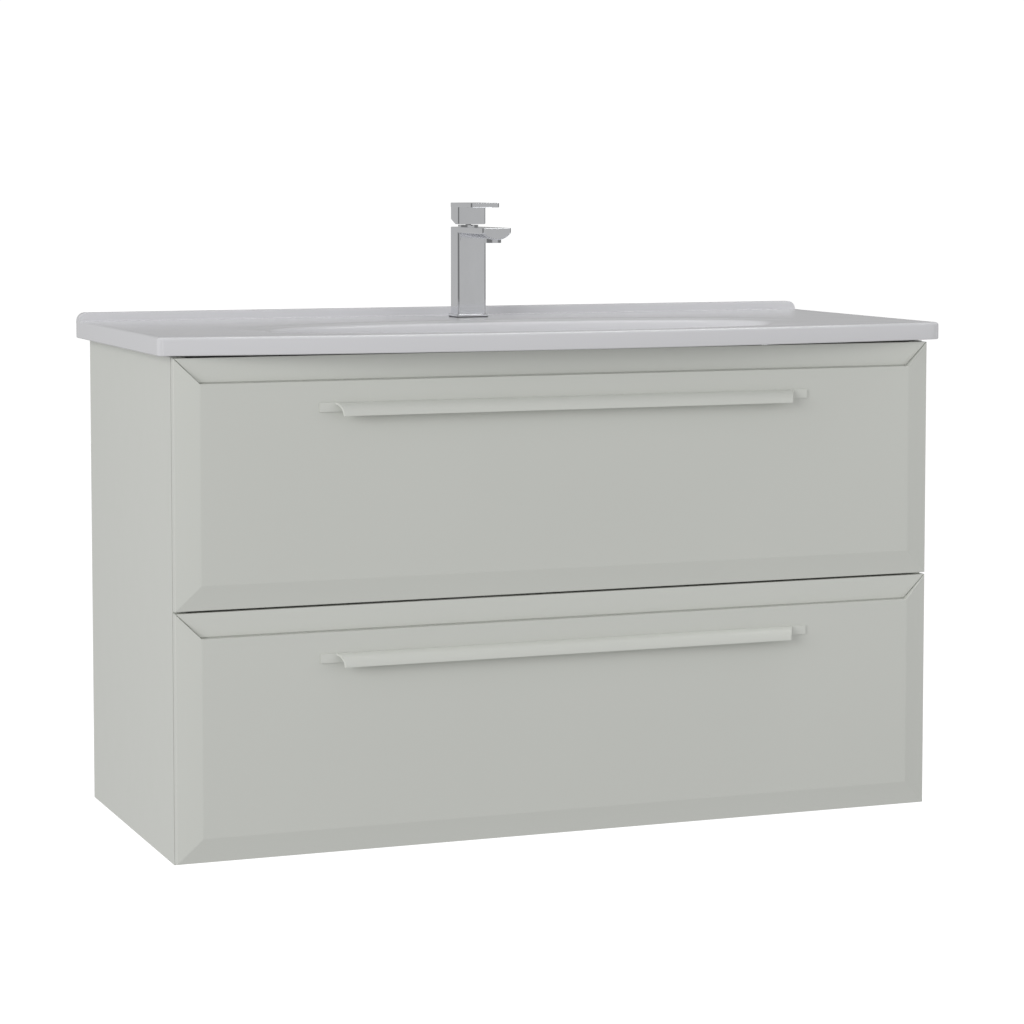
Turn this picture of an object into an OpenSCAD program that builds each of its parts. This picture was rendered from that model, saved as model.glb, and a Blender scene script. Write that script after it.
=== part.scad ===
// Wall-hung bathroom vanity cabinet: carcass, two drawers, ceramic basin, mixer tap and waste.
// The wall is the plane Y = 0, the front faces -Y, X = 0 is the middle of the cabinet and
// Z = 0 is the middle of the wall plates that it hangs on.

/* [Cabinet] */
// Width over the side panels
cabinet_w = 990; // [900:10:1100]
// Height of the side panels
cabinet_h = 600; // [590:1:640]
// Depth of the side panels, from the wall to their front edges
cabinet_d = 414; // [410:1:430]
// Thickness of the carcass boards
board_t = 18; // [16:1:19]
// Height of the carcass top above the wall plates' middle
top_z = 62; // [60:1:70]

/* [Drawer fronts] */
// Thickness of a drawer front
front_t = 18; // [16:1:20]
// Width of the framed band round a front
band_w = 30; // [24:1:36]
// Depth that the band falls away from the middle of a front
band_fall = 8; // [5:1:9]
// Gap between the side panels and the drawer fronts
front_gap = 3; // [1.5:0.5:3]
// Gap above the upper front
top_reveal = 1; // [0.5:0.5:2]
// Gap between the two fronts
middle_reveal = 2.5; // [2:0.5:4]
// Gap below the lower front
bottom_reveal = 3; // [2:0.5:5]

/* [Drawers] */
// Length of a drawer box and of its runners
drawer_l = 350; // [300:10:350]
// Thickness of the drawer sides and backs
drawer_side_t = 15; // [12:1:16]
// Height of the upper drawer's sides
upper_side_h = 120; // [90:5:125]
// Height of the lower drawer's sides
lower_side_h = 190; // [120:5:200]
// Inner width of the upper drawer's recess for the trap
recess_w = 200; // [160:10:260]

/* [Handles] */
// Length of a handle over its end tabs
handle_l = 640; // [400:1:700]
// Length of a handle's lip
lip_l = 604; // [360:1:660]
// Radius of the lip's quarter-round outer face
lip_r = 15.5; // [14:0.5:20]
// Thickness of the handle's metal
handle_t = 2; // [1.5:0.5:3]
// Height of the handle's flat bar
handle_bar_h = 11; // [10:1:16]
// Distance from the top edge of a front down to its handle
handle_drop = 55.5; // [45:0.5:70]

/* [Basin] */
// Overhang of the basin past each side of the cabinet
basin_overhang = 18; // [12:1:20]
// Height of the basin's front edge
basin_edge_h = 22; // [18:1:24]
// Distance from the wall to the basin's front corners
basin_corner_d = 429; // [424:1:434]
// Distance that the front edge bows forward in its middle
basin_bow = 45; // [20:5:60]
// Height of the lip along the wall, above the deck
back_lip_h = 11; // [8:1:20]
// Thickness of the lip along the wall
back_lip_t = 14; // [10:1:18]
// Half length of the bowl along X
bowl_rx = 330; // [280:5:340]
// Half width of the bowl along Y
bowl_ry = 112; // [100:1:114]
// Depth of the bowl below the deck
bowl_depth = 102; // [90:1:104]
// Wall thickness of the bowl
bowl_wall = 9; // [8:1:12]

/* [Tap] */
// Width of the tap's column, spout and lever
tap_w = 40; // [38:1:44]
// Depth of the tap's column
tap_d = 31; // [31:1:36]
// Height of the tap's column above the deck
tap_h = 119.5; // [115:0.5:150]
// Reach of the spout in front of the column
spout_reach = 93; // [70:1:110]
// Height of the lever block, under the lever plate
lever_block_h = 22.5; // [20:0.5:26]
// Reach of the lever plate in front of its block
lever_reach = 50; // [35:1:60]

/* [Waste] */
// Outer radius of the drain's thread, that the trap's first nut fits
drain_r = 20.9; // [20:0.1:22]
// Outer radius of the trap's pipes
pipe_r = 16; // [15:0.5:18]
// Length of outlet pipe that stands out past the wall plane
pipe_out = 30; // [20:1:60]

/* [Wall fixing] */
// Distance between the two wall plates' rows of holes
plate_spacing = 850; // [840:2:856]
// Distance between the two holes of a wall plate
plate_hole_spacing = 32; // [28:1:36]
// Radius of the wall plates' screw holes
plate_hole_r = 3.5; // [3:0.5:4]

/* [Hidden] */
$fn = 48;
fine_fn = 96;
dome_fn = 480;
cut = 1;
fit_gap = 0.05;
slide_gap = 0.3;

lacquer = [0.73, 0.73, 0.71];
board_white = [0.93, 0.93, 0.92];
ceramic = [0.90, 0.90, 0.91];
chrome = [0.72, 0.73, 0.75];
steel = [0.62, 0.63, 0.64];
zinc = [0.78, 0.79, 0.80];
white_plastic = [0.95, 0.95, 0.95];
black_rubber = [0.12, 0.12, 0.12];

// Carcass
bottom_z = top_z - cabinet_h;
inner_x = cabinet_w / 2 - board_t;
back_y = -12;
back_t = 4;
back_front_y = back_y - back_t;
rear_rail_d = 106;
tap_notch_w = 90;
tap_notch_d = 84;
lower_rail_z = bottom_z + 200;
lower_rail_h = 100;
pipe_window_w = 300;
pipe_window_z = [top_z - 320, top_z - 110];
cam_r = 7.5;
cam_t = 12;
cam_slot_w = 2;
cam_inset = 34;
bottom_cam_y = [-350, -80];
rear_cam_y = [-100, -45];
lower_cam_z = [25, 75];
screw_r = 2.5;
screw_l = 13;
screw_head_r = 4.2;
screw_head_t = 2;

// Drawer fronts and boxes
front_back_y = -cabinet_d - front_gap;
front_y = front_back_y - front_t;
front_h = (cabinet_h - top_reveal - middle_reveal - bottom_reveal) / 2;
lower_z = bottom_z + bottom_reveal;
upper_z = lower_z + front_h + middle_reveal;
kerf = 1.5;
runner_rise = 24;
box_gap = 5;
box_x = inner_x - box_gap;
box_inner_x = box_x - drawer_side_t;
box_back_y = front_back_y + drawer_l;
side_rise = 3;
bottom_rise = 16;
bottom_t = 8;
recess_t = 12;
recess_y = -335;
handle_post_r = 4;
handle_post_l = 10;
handle_screw_r = 2;
handle_screw_head_r = 4;
handle_screw_head_t = 2.5;
lip_taper = 8.5;
handle_tab_x = (handle_l + lip_l) / 4;
handle_post_x = [for (i = [-1, -1 / 3, 1 / 3, 1]) i * handle_tab_x];

// Runners: X runs from the side panel's inner face, Z from the runner's underside
sheet_t = 1.5;
rail_l = drawer_l - 6;
rail_y = front_back_y + 4;
flange_h = 24;
rail_x = 24;
rail_w = 20;
rail_wall_h = 8;
slide_rise = sheet_t + slide_gap;
slide_w = rail_w - 2 * sheet_t - 2 * slide_gap;
slide_h = 12.4;
member_z = rail_wall_h + slide_gap;
rail_screw_y = [40, 170, 300];

// Wall plates and hangers
plate_t = 3;
plate_x = [400, 471];
plate_h = 60;
strip_x = [443, 471];
strip_z = [-14, 6];
cheek_t = 3;
hook_x = [448, 466];
hook_gap = 0.3;
hook_t = 2.4;
hook_h = 4;
hanger_x = 455;
hanger_y = [-75, -30];
hanger_z = [-30, 34];
hanger_screw_z = [-18, 22];
window_x = 395;
window_z = -40;

// Basin
seal_t = 2;
seal_w = 10;
seal_inset = 4;
basin_x = cabinet_w / 2 + basin_overhang;
basin_z = top_z + seal_t;
deck_z = basin_z + basin_edge_h;
corner_r = 12;
lip_end_r = 10.5;
bow_steps = 40;
// Hairline between solids that are one casting: slab, bowl and duct, or column and spout
hairline = 0.02;
dish_rx = 375;
dish_ry = 150;
dish_depth = 8;
dish_y = -304;
bowl_y = -285;
waste_y = -270;
waste_z = deck_z - bowl_depth;
waste_hole_r = 23;
waste_boss_r = 40;
waste_boss_h = 16;
flange_r = 31.5;
flange_t = 3;
flange_recess_h = 18;
// Overflow: a hole square to the bowl's wall, and a duct that slopes down at 45 degrees behind it
overflow_drop = 38;
overflow_r = 12;
overflow_y = bowl_y + bowl_ry * sqrt(1 - pow(overflow_drop / bowl_depth, 2));
overflow_tilt = atan2(overflow_drop / pow(bowl_depth, 2), (overflow_y - bowl_y) / pow(bowl_ry, 2));
overflow_l = 23;
ring_lip = 3;
ring_lip_y = [-3.2, -1.4];
duct_w = 46;
duct_t = 8;
duct_wall = 5;
duct_reach = norm([bowl_ry + bowl_wall, bowl_depth + bowl_wall]) / sqrt(2) + duct_t / 2 + 0.5;
duct_top_z = basin_z + 2;
duct_bottom_z = waste_z - 6;
link_x = [18, 12];
link_y = [waste_y + waste_hole_r - 6, waste_y + 55];
link_wall = 3;

// Drain and trap
drain_bore_r = 18;
drain_bottom_z = waste_z - 74;
drain_window_w = 14;
drain_window_h = 6;
gasket_t = 2;
drain_nut_h = 8;
drain_nut_r = 31;
spider_z = waste_z - 34;
spider_h = 8;
spider_arm = 4;
guide_r = 7;
plug_r = 30;
plug_t = 5;
plug_dome_r = 120;
plug_stem_r = 4;
plug_stem_l = 42;
pipe_wall = 1.5;
pipe_bore_r = pipe_r - pipe_wall;
bottle_r = 30;
bottle_wall = 3;
bottle_z = [waste_z - 184, waste_z - 114];
bottle_neck_l = 18;
outlet_z = bottle_z[1] - 20;
dip_z = bottle_z[0] - 15;
cup_wall = 3.3;
cup_r = bottle_r + cup_wall + fit_gap;
cup_z = [bottle_z[0] - 26, bottle_z[0] + 16];
rib_w = 4;
rib_out = 2;
nut_r = 26;
nut_h = 20;
nut_lip = 4;
pipe_end_r = pipe_r - 0.25;
rosette_r = 40;
rosette_t = 5;
rosette_dome_r = 143;

// Tap
tap_y = -73;
tap_front_y = tap_y - tap_d / 2;
tap_rear_y = tap_y + tap_d / 2;
base_t = 4;
base_margin = 2.5;
tap_top_z = deck_z + tap_h;
spout_h = 16;
spout_edge_h = 6.5;
belly_rise = spout_h - spout_edge_h;
belly_r = (pow(tap_w / 2, 2) + pow(belly_rise, 2)) / (2 * belly_rise);
aerator_r = 11;
aerator_inset = 16;
aerator_h = 13;
aerator_drop = 3.5;
aerator_rim_h = 3;
aerator_rim_w = 2;
aerator_face_r = aerator_r - 4;
aerator_hole_r = 0.9;
aerator_grid = [-6 : 3 : 6];
waterway_r = 4;
waterway_drop = 9;
cartridge_r = 12.5;
cartridge_l = 38;
nut_ring_r = 13.4;
nut_ring_h = 11.3;
nut_ring_top = tap_top_z + 2.5;
nut_ring_bore = 9.6;
nut_slot_w = 3;
nut_slot_depth = 1;
inlet_r = 4.6;
inlet_l = 16;
inlet_x = 9;
inlet_y = tap_y + 4.5;
feed_r = 4.2;
stud_r = 4;
stud_y = tap_y - 10;
stud_top = 16;
stud_drop = 45;
tap_hole_r = 17.5;
base_hole_r = 15.5;
washer_r = 23;
washer_t = 3;
washer_cut_y = tap_y - 3;
stud_nut_r = 7.5;
stud_nut_h = 9;

// Lever
pivot_z = tap_top_z - 2;
collar_r = 9;
collar_z = [pivot_z - 9, pivot_z + 4];
stem_w = 6;
stem_z = [pivot_z - 5, pivot_z + 19];
slot_w = 6.4;
slot_l = 12.6;
slot_floor = 6.5;
pin_r = 1.5;
pin_l = 16;
lever_gap = 3.5;
lever_z = tap_top_z + lever_gap;
lever_plate_t = 6;
lever_chamfer_h = 6;
lever_step = 0.5;
grub_r = 2;
grub_l = 9;
grub_z = lever_z + 10;

// ---------------------------------------------------------------- shared shapes

// Box from one corner to the opposite corner
module span(low, high) {
    translate(low) cube(high - low);
}

// Round bar along X, from x0 to x1
module bar_x(x0, x1, r) {
    translate([x0, 0, 0]) rotate([0, 90, 0]) cylinder(h = x1 - x0, r = r);
}

// Round bar along Y, from y0 to y1
module bar_y(y0, y1, r) {
    translate([0, y1, 0]) rotate([90, 0, 0]) cylinder(h = y1 - y0, r = r);
}

// A straight tube along Z
module tube(z0, z1, r, bore) {
    translate([0, 0, z0]) difference() {
        cylinder(h = z1 - z0, r = r);
        translate([0, 0, -cut]) cylinder(h = z1 - z0 + 2 * cut, r = bore);
    }
}

// Disc of radius r with a flat foot and a domed top, t thick in the middle
module domed_disc(r, t, dome_r) {
    rotate_extrude() intersection() {
        square([r, t]);
        translate([0, t - dome_r]) circle(r = dome_r, $fn = dome_fn);
    }
}

// Extrudes a profile drawn in Y and Z along X, from x0 to x1
module profile_x(x0, x1) {
    translate([x0, 0, 0]) rotate([90, 0, 90]) linear_extrude(height = x1 - x0) children();
}

// Places a child at the left (-1) or right (1) inner face, with X running inwards
module at_side(side) {
    if (side < 0) translate([-inner_x, 0, 0]) children();
    else translate([inner_x, 0, 0]) mirror([1, 0, 0]) children();
}

function runner_z(front_z) = front_z + runner_rise;

// ---------------------------------------------------------------- carcass

// Screws of one side's two runners and of its hanger, on the side panel's inner face
module at_rail_screws() {
    for (front_z = [upper_z, lower_z], y = rail_screw_y)
        translate([0, rail_y + y, runner_z(front_z) + flange_h / 2]) children();
}

module at_hanger_screws() {
    for (z = hanger_screw_z) translate([0, (hanger_y[0] + hanger_y[1]) / 2, z]) children();
}

// Pan-head screw that clamps a thickness t onto a side panel
module panel_screw(t) {
    bar_x(-screw_l, t, screw_r);
    bar_x(t, t + screw_head_t, screw_head_r);
}

module panel_screws() {
    color(steel) for (side = [-1, 1]) at_side(side) {
        at_rail_screws() panel_screw(sheet_t);
        at_hanger_screws() panel_screw(inner_x - hanger_x - screw_head_t);
    }
}

module side_panel(side) {
    color(lacquer) difference() {
        if (side < 0) span([-cabinet_w / 2, -cabinet_d, bottom_z], [-inner_x, 0, top_z]);
        else span([inner_x, -cabinet_d, bottom_z], [cabinet_w / 2, 0, top_z]);
        at_side(side) {
            at_rail_screws() bar_x(-screw_l, cut, screw_r + fit_gap);
            at_hanger_screws() bar_x(-screw_l, cut, screw_r + fit_gap);
        }
    }
}

// Middles of the cam fittings in the bottom panel and in the two rails
module at_bottom_cams() {
    for (x = [-1, 1], y = bottom_cam_y)
        translate([x * (inner_x - cam_inset), y, bottom_z]) children();
}

module at_rear_rail_cams() {
    for (x = [-1, 1], y = rear_cam_y)
        translate([x * (inner_x - cam_inset), y, top_z - board_t]) children();
}

module at_lower_rail_cams() {
    for (x = [-1, 1], z = lower_cam_z)
        translate([x * (inner_x - cam_inset), back_front_y - board_t, lower_rail_z + z])
            rotate([-90, 0, 0]) children();
}

module cam_hole() {
    translate([0, 0, -cut]) cylinder(h = cam_t + cut, r = cam_r + fit_gap);
}

// Cross slot for a screwdriver, cut down from the level z = 0
module cross_slot(l, w, depth) {
    for (size = [[l, w, 2 * depth], [w, l, 2 * depth]]) cube(size, center = true);
}

module cam() {
    difference() {
        cylinder(h = cam_t, r = cam_r);
        cross_slot(1.2 * cam_r, cam_slot_w, cam_slot_w);
    }
}

module cam_fittings() {
    color(zinc) {
        at_bottom_cams() cam();
        at_rear_rail_cams() cam();
        at_lower_rail_cams() cam();
    }
}

module bottom_panel() {
    color(lacquer) difference() {
        span([-inner_x, -cabinet_d, bottom_z], [inner_x, back_front_y, bottom_z + board_t]);
        at_bottom_cams() cam_hole();
    }
}

module rear_rail() {
    color(board_white) difference() {
        span([-inner_x, back_front_y - rear_rail_d, top_z - board_t],
            [inner_x, back_front_y, top_z]);
        span([-tap_notch_w / 2, back_front_y - tap_notch_d, top_z - board_t - cut],
            [tap_notch_w / 2, back_front_y + cut, top_z + cut]);
        at_rear_rail_cams() cam_hole();
    }
}

module lower_rail() {
    color(board_white) difference() {
        span([-inner_x, back_front_y - board_t, lower_rail_z],
            [inner_x, back_front_y, lower_rail_z + lower_rail_h]);
        at_lower_rail_cams() cam_hole();
    }
}

module back_panel() {
    color(board_white) difference() {
        span([-inner_x, back_front_y, bottom_z], [inner_x, back_y, top_z]);
        span([-pipe_window_w / 2, back_front_y - cut, pipe_window_z[0]],
            [pipe_window_w / 2, back_y + cut, pipe_window_z[1]]);
        for (side = [0, 1]) mirror([side, 0, 0])
            span([window_x, back_front_y - cut, window_z], [inner_x + cut, back_y + cut, top_z + cut]);
    }
}

// ---------------------------------------------------------------- wall fixing

module wall_plate() {
    difference() {
        span([plate_x[0], -plate_t, -plate_h / 2], [plate_x[1], 0, plate_h / 2]);
        for (z = [-1, 1]) translate([plate_spacing / 2, 0, z * plate_hole_spacing / 2])
            bar_y(-plate_t - cut, cut, plate_hole_r);
    }
    span([strip_x[0], -3 * plate_t, strip_z[0]], [strip_x[1], -2 * plate_t, strip_z[1]]);
    for (x = [strip_x[0], strip_x[1] - cheek_t])
        span([x, -2 * plate_t, strip_z[0]], [x + cheek_t, -plate_t, strip_z[1]]);
}

module wall_plates() {
    color(steel) for (side = [0, 1]) mirror([side, 0, 0]) wall_plate();
}

// Cast hanger on a side panel, its hook over the wall plate's strip
module hanger(side) {
    tongue_y = -plate_t - hook_gap;
    color(zinc) mirror([side < 0 ? 1 : 0, 0, 0]) difference() {
        union() {
            span([hanger_x, hanger_y[0], hanger_z[0]], [inner_x, hanger_y[1], hanger_z[1]]);
            span([hook_x[0], hanger_y[1] - cut, strip_z[1]], [hook_x[1], tongue_y, strip_z[1] + hook_h]);
            span([hook_x[0], tongue_y - hook_t, strip_z[0] + hook_h],
                [hook_x[1], tongue_y, strip_z[1] + cut]);
        }
        at_hanger_screws() {
            bar_x(hanger_x - cut, inner_x + cut, screw_r + fit_gap);
            bar_x(hanger_x - cut, hanger_x + screw_head_t, screw_head_r + fit_gap);
        }
    }
}

// ---------------------------------------------------------------- runners

module runner_rail(front_z) {
    translate([0, rail_y, runner_z(front_z)]) difference() {
        union() {
            span([0, 0, 0], [sheet_t, rail_l, flange_h]);
            span([0, 0, 0], [rail_x + rail_w, rail_l, sheet_t]);
            span([rail_x, 0, 0], [rail_x + sheet_t, rail_l, rail_wall_h]);
            span([rail_x + rail_w - sheet_t, 0, 0], [rail_x + rail_w, rail_l, rail_wall_h]);
        }
        for (y = rail_screw_y) translate([0, y, flange_h / 2])
            bar_x(-cut, sheet_t + cut, screw_r + fit_gap);
    }
}

module runner_rails() {
    color(zinc) for (side = [-1, 1], front_z = [upper_z, lower_z])
        at_side(side) runner_rail(front_z);
}

// Middle members, which travel half as far as the drawer
module runner_slides(front_z) {
    color(steel) for (side = [-1, 1]) at_side(side)
        translate([rail_x + sheet_t + slide_gap, rail_y, runner_z(front_z) + slide_rise])
            difference() {
                cube([slide_w, rail_l, slide_h]);
                translate([sheet_t, -cut, sheet_t])
                    cube([slide_w - 2 * sheet_t, rail_l + 2 * cut, slide_h - 2 * sheet_t]);
            }
}

// Members that carry the drawer's bottom panel
module runner_members(front_z) {
    color(zinc) for (side = [-1, 1]) at_side(side)
        translate([rail_x, rail_y, runner_z(front_z)]) {
            span([0, 0, bottom_rise - sheet_t], [rail_w, rail_l, bottom_rise]);
            span([0, 0, member_z], [sheet_t, rail_l, bottom_rise]);
            span([rail_w - sheet_t, 0, member_z], [rail_w, rail_l, bottom_rise]);
        }
}

// ---------------------------------------------------------------- drawers

// Trapezium of the top band, inset by d from its mitres and its lower edge, drawn in X and Z
module top_band(d) {
    half = cabinet_w / 2;
    polygon([[d - half, 0], [half - d, 0], [half - band_w, d - band_w], [band_w - half, d - band_w]]);
}

module drawer_front(front_z) {
    half = cabinet_w / 2;
    color(lacquer) difference() {
        span([-half, front_y, front_z], [half, front_back_y, front_z + front_h]);
        // Sloping bands on the left and on the right
        for (side = [0, 1]) mirror([side, 0, 0]) translate([0, 0, front_z - cut])
            linear_extrude(height = front_h + 2 * cut)
                polygon([[half + cut, front_y + band_fall * (1 + cut / band_w)],
                    [half - band_w, front_y], [half - band_w, front_y - cut],
                    [half + cut, front_y - cut]]);
        // Sloping band along the bottom
        profile_x(-half - cut, half + cut)
            polygon([[front_y + band_fall * (1 + cut / band_w), front_z - cut],
                [front_y, front_z + band_w], [front_y - cut, front_z + band_w],
                [front_y - cut, front_z - cut]]);
        // Set-back band along the top, with a fine groove where it meets the middle
        translate([0, front_y + band_fall, front_z + front_h]) rotate([90, 0, 0])
            linear_extrude(height = band_fall + cut) top_band(0);
        span([-half, front_y - cut, front_z + front_h - cut / 100],
            [half, front_y + band_fall, front_z + front_h + cut]);
        translate([0, front_y + band_fall + kerf, front_z + front_h]) rotate([90, 0, 0])
            linear_extrude(height = band_fall + kerf + cut) difference() {
                top_band(0);
                top_band(kerf);
            }
        // Holes for the handle's posts and screws
        for (x = handle_post_x)
            translate([x, 0, front_z + front_h - handle_drop - handle_bar_h / 2]) {
                bar_y(front_y - cut, front_y + handle_post_l, handle_post_r + fit_gap);
                bar_y(front_y, front_back_y + cut, handle_screw_r + fit_gap);
            }
    }
}

module handle(front_z) {
    bar_z = front_z + front_h - handle_drop;
    color(lacquer) difference() {
        union() {
            span([-handle_l / 2, front_y - handle_t, bar_z - handle_bar_h],
                [handle_l / 2, front_y, bar_z]);
            intersection() {
                profile_x(-lip_l / 2, lip_l / 2) translate([front_y, bar_z - lip_r])
                    intersection() {
                        difference() {
                            circle(r = lip_r);
                            circle(r = lip_r - handle_t);
                        }
                        translate([-lip_r, 0]) square(lip_r);
                    }
                // Slanted ends: from above, the lip narrows towards the front
                translate([0, front_y, bar_z - lip_r - cut]) linear_extrude(height = lip_r + 2 * cut)
                    polygon([[-lip_l / 2, cut], [lip_l / 2, cut], [lip_l / 2, 0],
                        [lip_l / 2 - lip_taper, -lip_r], [lip_l / 2 - lip_taper, -lip_r - cut],
                        [lip_taper - lip_l / 2, -lip_r - cut], [lip_taper - lip_l / 2, -lip_r],
                        [-lip_l / 2, 0]]);
            }
            for (x = handle_post_x) translate([x, 0, bar_z - handle_bar_h / 2])
                bar_y(front_y - handle_t / 2, front_y + handle_post_l, handle_post_r);
        }
        for (x = handle_post_x) translate([x, 0, bar_z - handle_bar_h / 2])
            bar_y(front_y + handle_t, front_y + handle_post_l + cut, handle_screw_r + fit_gap);
    }
}

module handle_screws(front_z) {
    color(steel) for (x = handle_post_x)
        translate([x, 0, front_z + front_h - handle_drop - handle_bar_h / 2]) difference() {
            union() {
                bar_y(front_y + handle_t + cut, front_back_y + cut, handle_screw_r);
                bar_y(front_back_y, front_back_y + handle_screw_head_t, handle_screw_head_r);
            }
            translate([0, front_back_y + handle_screw_head_t, 0]) rotate([90, 0, 0])
                cross_slot(1.2 * handle_screw_head_r, 1, 1);
        }
}

module drawer_side(side, front_z, side_h) {
    z = runner_z(front_z) + side_rise;
    color(board_white) at_side(side)
        span([box_gap, front_back_y, z], [box_gap + drawer_side_t, box_back_y, z + side_h]);
}

module drawer_bottom(front_z) {
    z = runner_z(front_z) + bottom_rise;
    span([-box_inner_x, front_back_y, z], [box_inner_x, box_back_y, z + bottom_t]);
}

module upper_bottom() {
    z = runner_z(upper_z) + bottom_rise;
    color(board_white) difference() {
        drawer_bottom(upper_z);
        span([-recess_w / 2, recess_y, z - cut], [recess_w / 2, box_back_y + cut, z + bottom_t + cut]);
    }
}

module lower_bottom() {
    color(board_white) drawer_bottom(lower_z);
}

function floor_z(front_z) = runner_z(front_z) + bottom_rise + bottom_t;
upper_rim_z = runner_z(upper_z) + side_rise + upper_side_h;
lower_rim_z = runner_z(lower_z) + side_rise + lower_side_h;

module upper_back(side) {
    color(board_white) mirror([side < 0 ? 1 : 0, 0, 0])
        span([recess_w / 2 + recess_t, box_back_y - drawer_side_t, floor_z(upper_z)],
            [box_inner_x, box_back_y, upper_rim_z]);
}

module lower_back() {
    color(board_white)
        span([-box_inner_x, box_back_y - drawer_side_t, floor_z(lower_z)],
            [box_inner_x, box_back_y, lower_rim_z]);
}

module recess_side(side) {
    color(board_white) mirror([side < 0 ? 1 : 0, 0, 0])
        span([recess_w / 2, recess_y, floor_z(upper_z)],
            [recess_w / 2 + recess_t, box_back_y, upper_rim_z]);
}

module recess_front() {
    color(board_white)
        span([-recess_w / 2 - recess_t, recess_y - recess_t, floor_z(upper_z)],
            [recess_w / 2 + recess_t, recess_y, upper_rim_z]);
}

// ---------------------------------------------------------------- basin

// How far the front edge stands forward of its corners at x
function bow(x) = basin_bow * (1 - pow(x / basin_x, 2));

module basin_outline() {
    intersection() {
        polygon(concat([[basin_x, 0], [-basin_x, 0]],
            [for (i = [0 : bow_steps])
                let (x = basin_x * (2 * i / bow_steps - 1)) [x, -basin_corner_d - bow(x)]]));
        // Rounds the two front corners
        union() {
            translate([-basin_x, -basin_corner_d + corner_r]) square([2 * basin_x, basin_corner_d]);
            for (side = [-1, 1]) translate([side * (basin_x - corner_r), -basin_corner_d + corner_r])
                circle(r = corner_r);
            translate([corner_r - basin_x, -2 * basin_corner_d])
                square([2 * (basin_x - corner_r), 2 * basin_corner_d]);
        }
    }
}

// Half-ellipsoid hollow, hanging from the level z
module bowl_shape(y, z, rx, ry, depth) {
    translate([0, y, z]) scale([rx, ry, depth]) sphere(r = 1, $fn = fine_fn);
}

// Lip along the wall, with rounded upper ends
module back_lip() {
    intersection() {
        span([-basin_x, -back_lip_t, basin_z], [basin_x, 0, deck_z + back_lip_h]);
        rotate([90, 0, 0]) linear_extrude(height = 4 * back_lip_t, center = true) {
            translate([-basin_x, basin_z]) square([2 * basin_x, basin_edge_h + back_lip_h - lip_end_r]);
            translate([lip_end_r - basin_x, basin_z])
                square([2 * (basin_x - lip_end_r), basin_edge_h + back_lip_h]);
            for (side = [-1, 1])
                translate([side * (basin_x - lip_end_r), deck_z + back_lip_h - lip_end_r])
                    circle(r = lip_end_r);
        }
    }
}

// Sloping box behind the bowl that leads the overflow to the drain
module overflow_duct(w, t, end_wall) {
    start_y = bowl_y + duct_reach * sqrt(2) + duct_top_z - deck_z;
    l = (duct_top_z - duct_bottom_z) * sqrt(2);
    translate([0, start_y, duct_top_z]) rotate([-135, 0, 0])
        translate([-w / 2, end_wall, -t / 2]) cube([w, l - 2 * end_wall, t]);
}

// Places a child at the overflow hole, with Y along the hole, out of the bowl
module at_overflow() {
    translate([0, overflow_y, deck_z - overflow_drop]) rotate([-overflow_tilt, 0, 0]) children();
}

// Outside of the bowl, grown by d
module bowl_outside(d) {
    bowl_shape(bowl_y, deck_z, bowl_rx + bowl_wall + d, bowl_ry + bowl_wall + d,
        bowl_depth + bowl_wall + d);
}

// Block that joins the duct's foot to the waste hole, grown by d
module duct_link(d) {
    span([-link_x[0] - d, link_y[0] - d, waste_z - waste_boss_h - d],
        [link_x[0] + d, link_y[1] + d, waste_z + d]);
}

// Cuts a child off below the slab
module under_slab() {
    intersection() {
        union() children();
        span([-basin_x, -basin_corner_d, deck_z - 2 * bowl_depth], [basin_x, 0, basin_z - hairline]);
    }
}

module basin() {
    color(ceramic) difference() {
        union() {
            translate([0, 0, basin_z]) linear_extrude(height = basin_edge_h) basin_outline();
            back_lip();
            under_slab() {
                bowl_outside(0);
                translate([0, waste_y, waste_z - waste_boss_h])
                    cylinder(h = waste_boss_h, r = waste_boss_r);
                duct_link(0);
            }
            difference() {
                under_slab() overflow_duct(duct_w + 2 * duct_wall, duct_t + 2 * duct_wall, 0);
                bowl_outside(hairline);
                duct_link(hairline);
            }
        }
        bowl_shape(dish_y, deck_z, dish_rx, dish_ry, dish_depth);
        bowl_shape(bowl_y, deck_z, bowl_rx, bowl_ry, bowl_depth);
        translate([0, waste_y, waste_z - waste_boss_h - cut])
            cylinder(h = waste_boss_h + 4 * cut, r = waste_hole_r);
        translate([0, waste_y, waste_z - flange_t]) cylinder(h = flange_recess_h, r = flange_r + fit_gap);
        translate([0, tap_y, basin_z - cut]) cylinder(h = basin_edge_h + 2 * cut, r = tap_hole_r);
        at_overflow() bar_y(-bowl_wall, overflow_l, overflow_r);
        overflow_duct(duct_w, duct_t, duct_wall);
        span([-link_x[1], link_y[0], waste_z - waste_boss_h + link_wall],
            [link_x[1], link_y[1] - link_wall, waste_z - 2 * link_wall]);
    }
}

module basin_seal() {
    rail_front_y = back_front_y - rear_rail_d;
    color(white_plastic) {
        for (side = [0, 1]) mirror([side, 0, 0])
            span([inner_x + seal_inset, seal_w - cabinet_d, top_z],
                [inner_x + seal_inset + seal_w, -seal_w, basin_z]);
        span([-inner_x, rail_front_y + seal_inset, top_z],
            [inner_x, rail_front_y + seal_inset + seal_w, basin_z]);
    }
}

// ---------------------------------------------------------------- waste

module overflow_ring() {
    color(chrome) at_overflow() difference() {
        union() {
            bar_y(ring_lip_y[0], bowl_wall, overflow_r - fit_gap);
            bar_y(ring_lip_y[0], ring_lip_y[1], overflow_r + ring_lip);
        }
        bar_y(ring_lip_y[0] - cut, bowl_wall + cut, overflow_r - ring_lip);
    }
}

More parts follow.
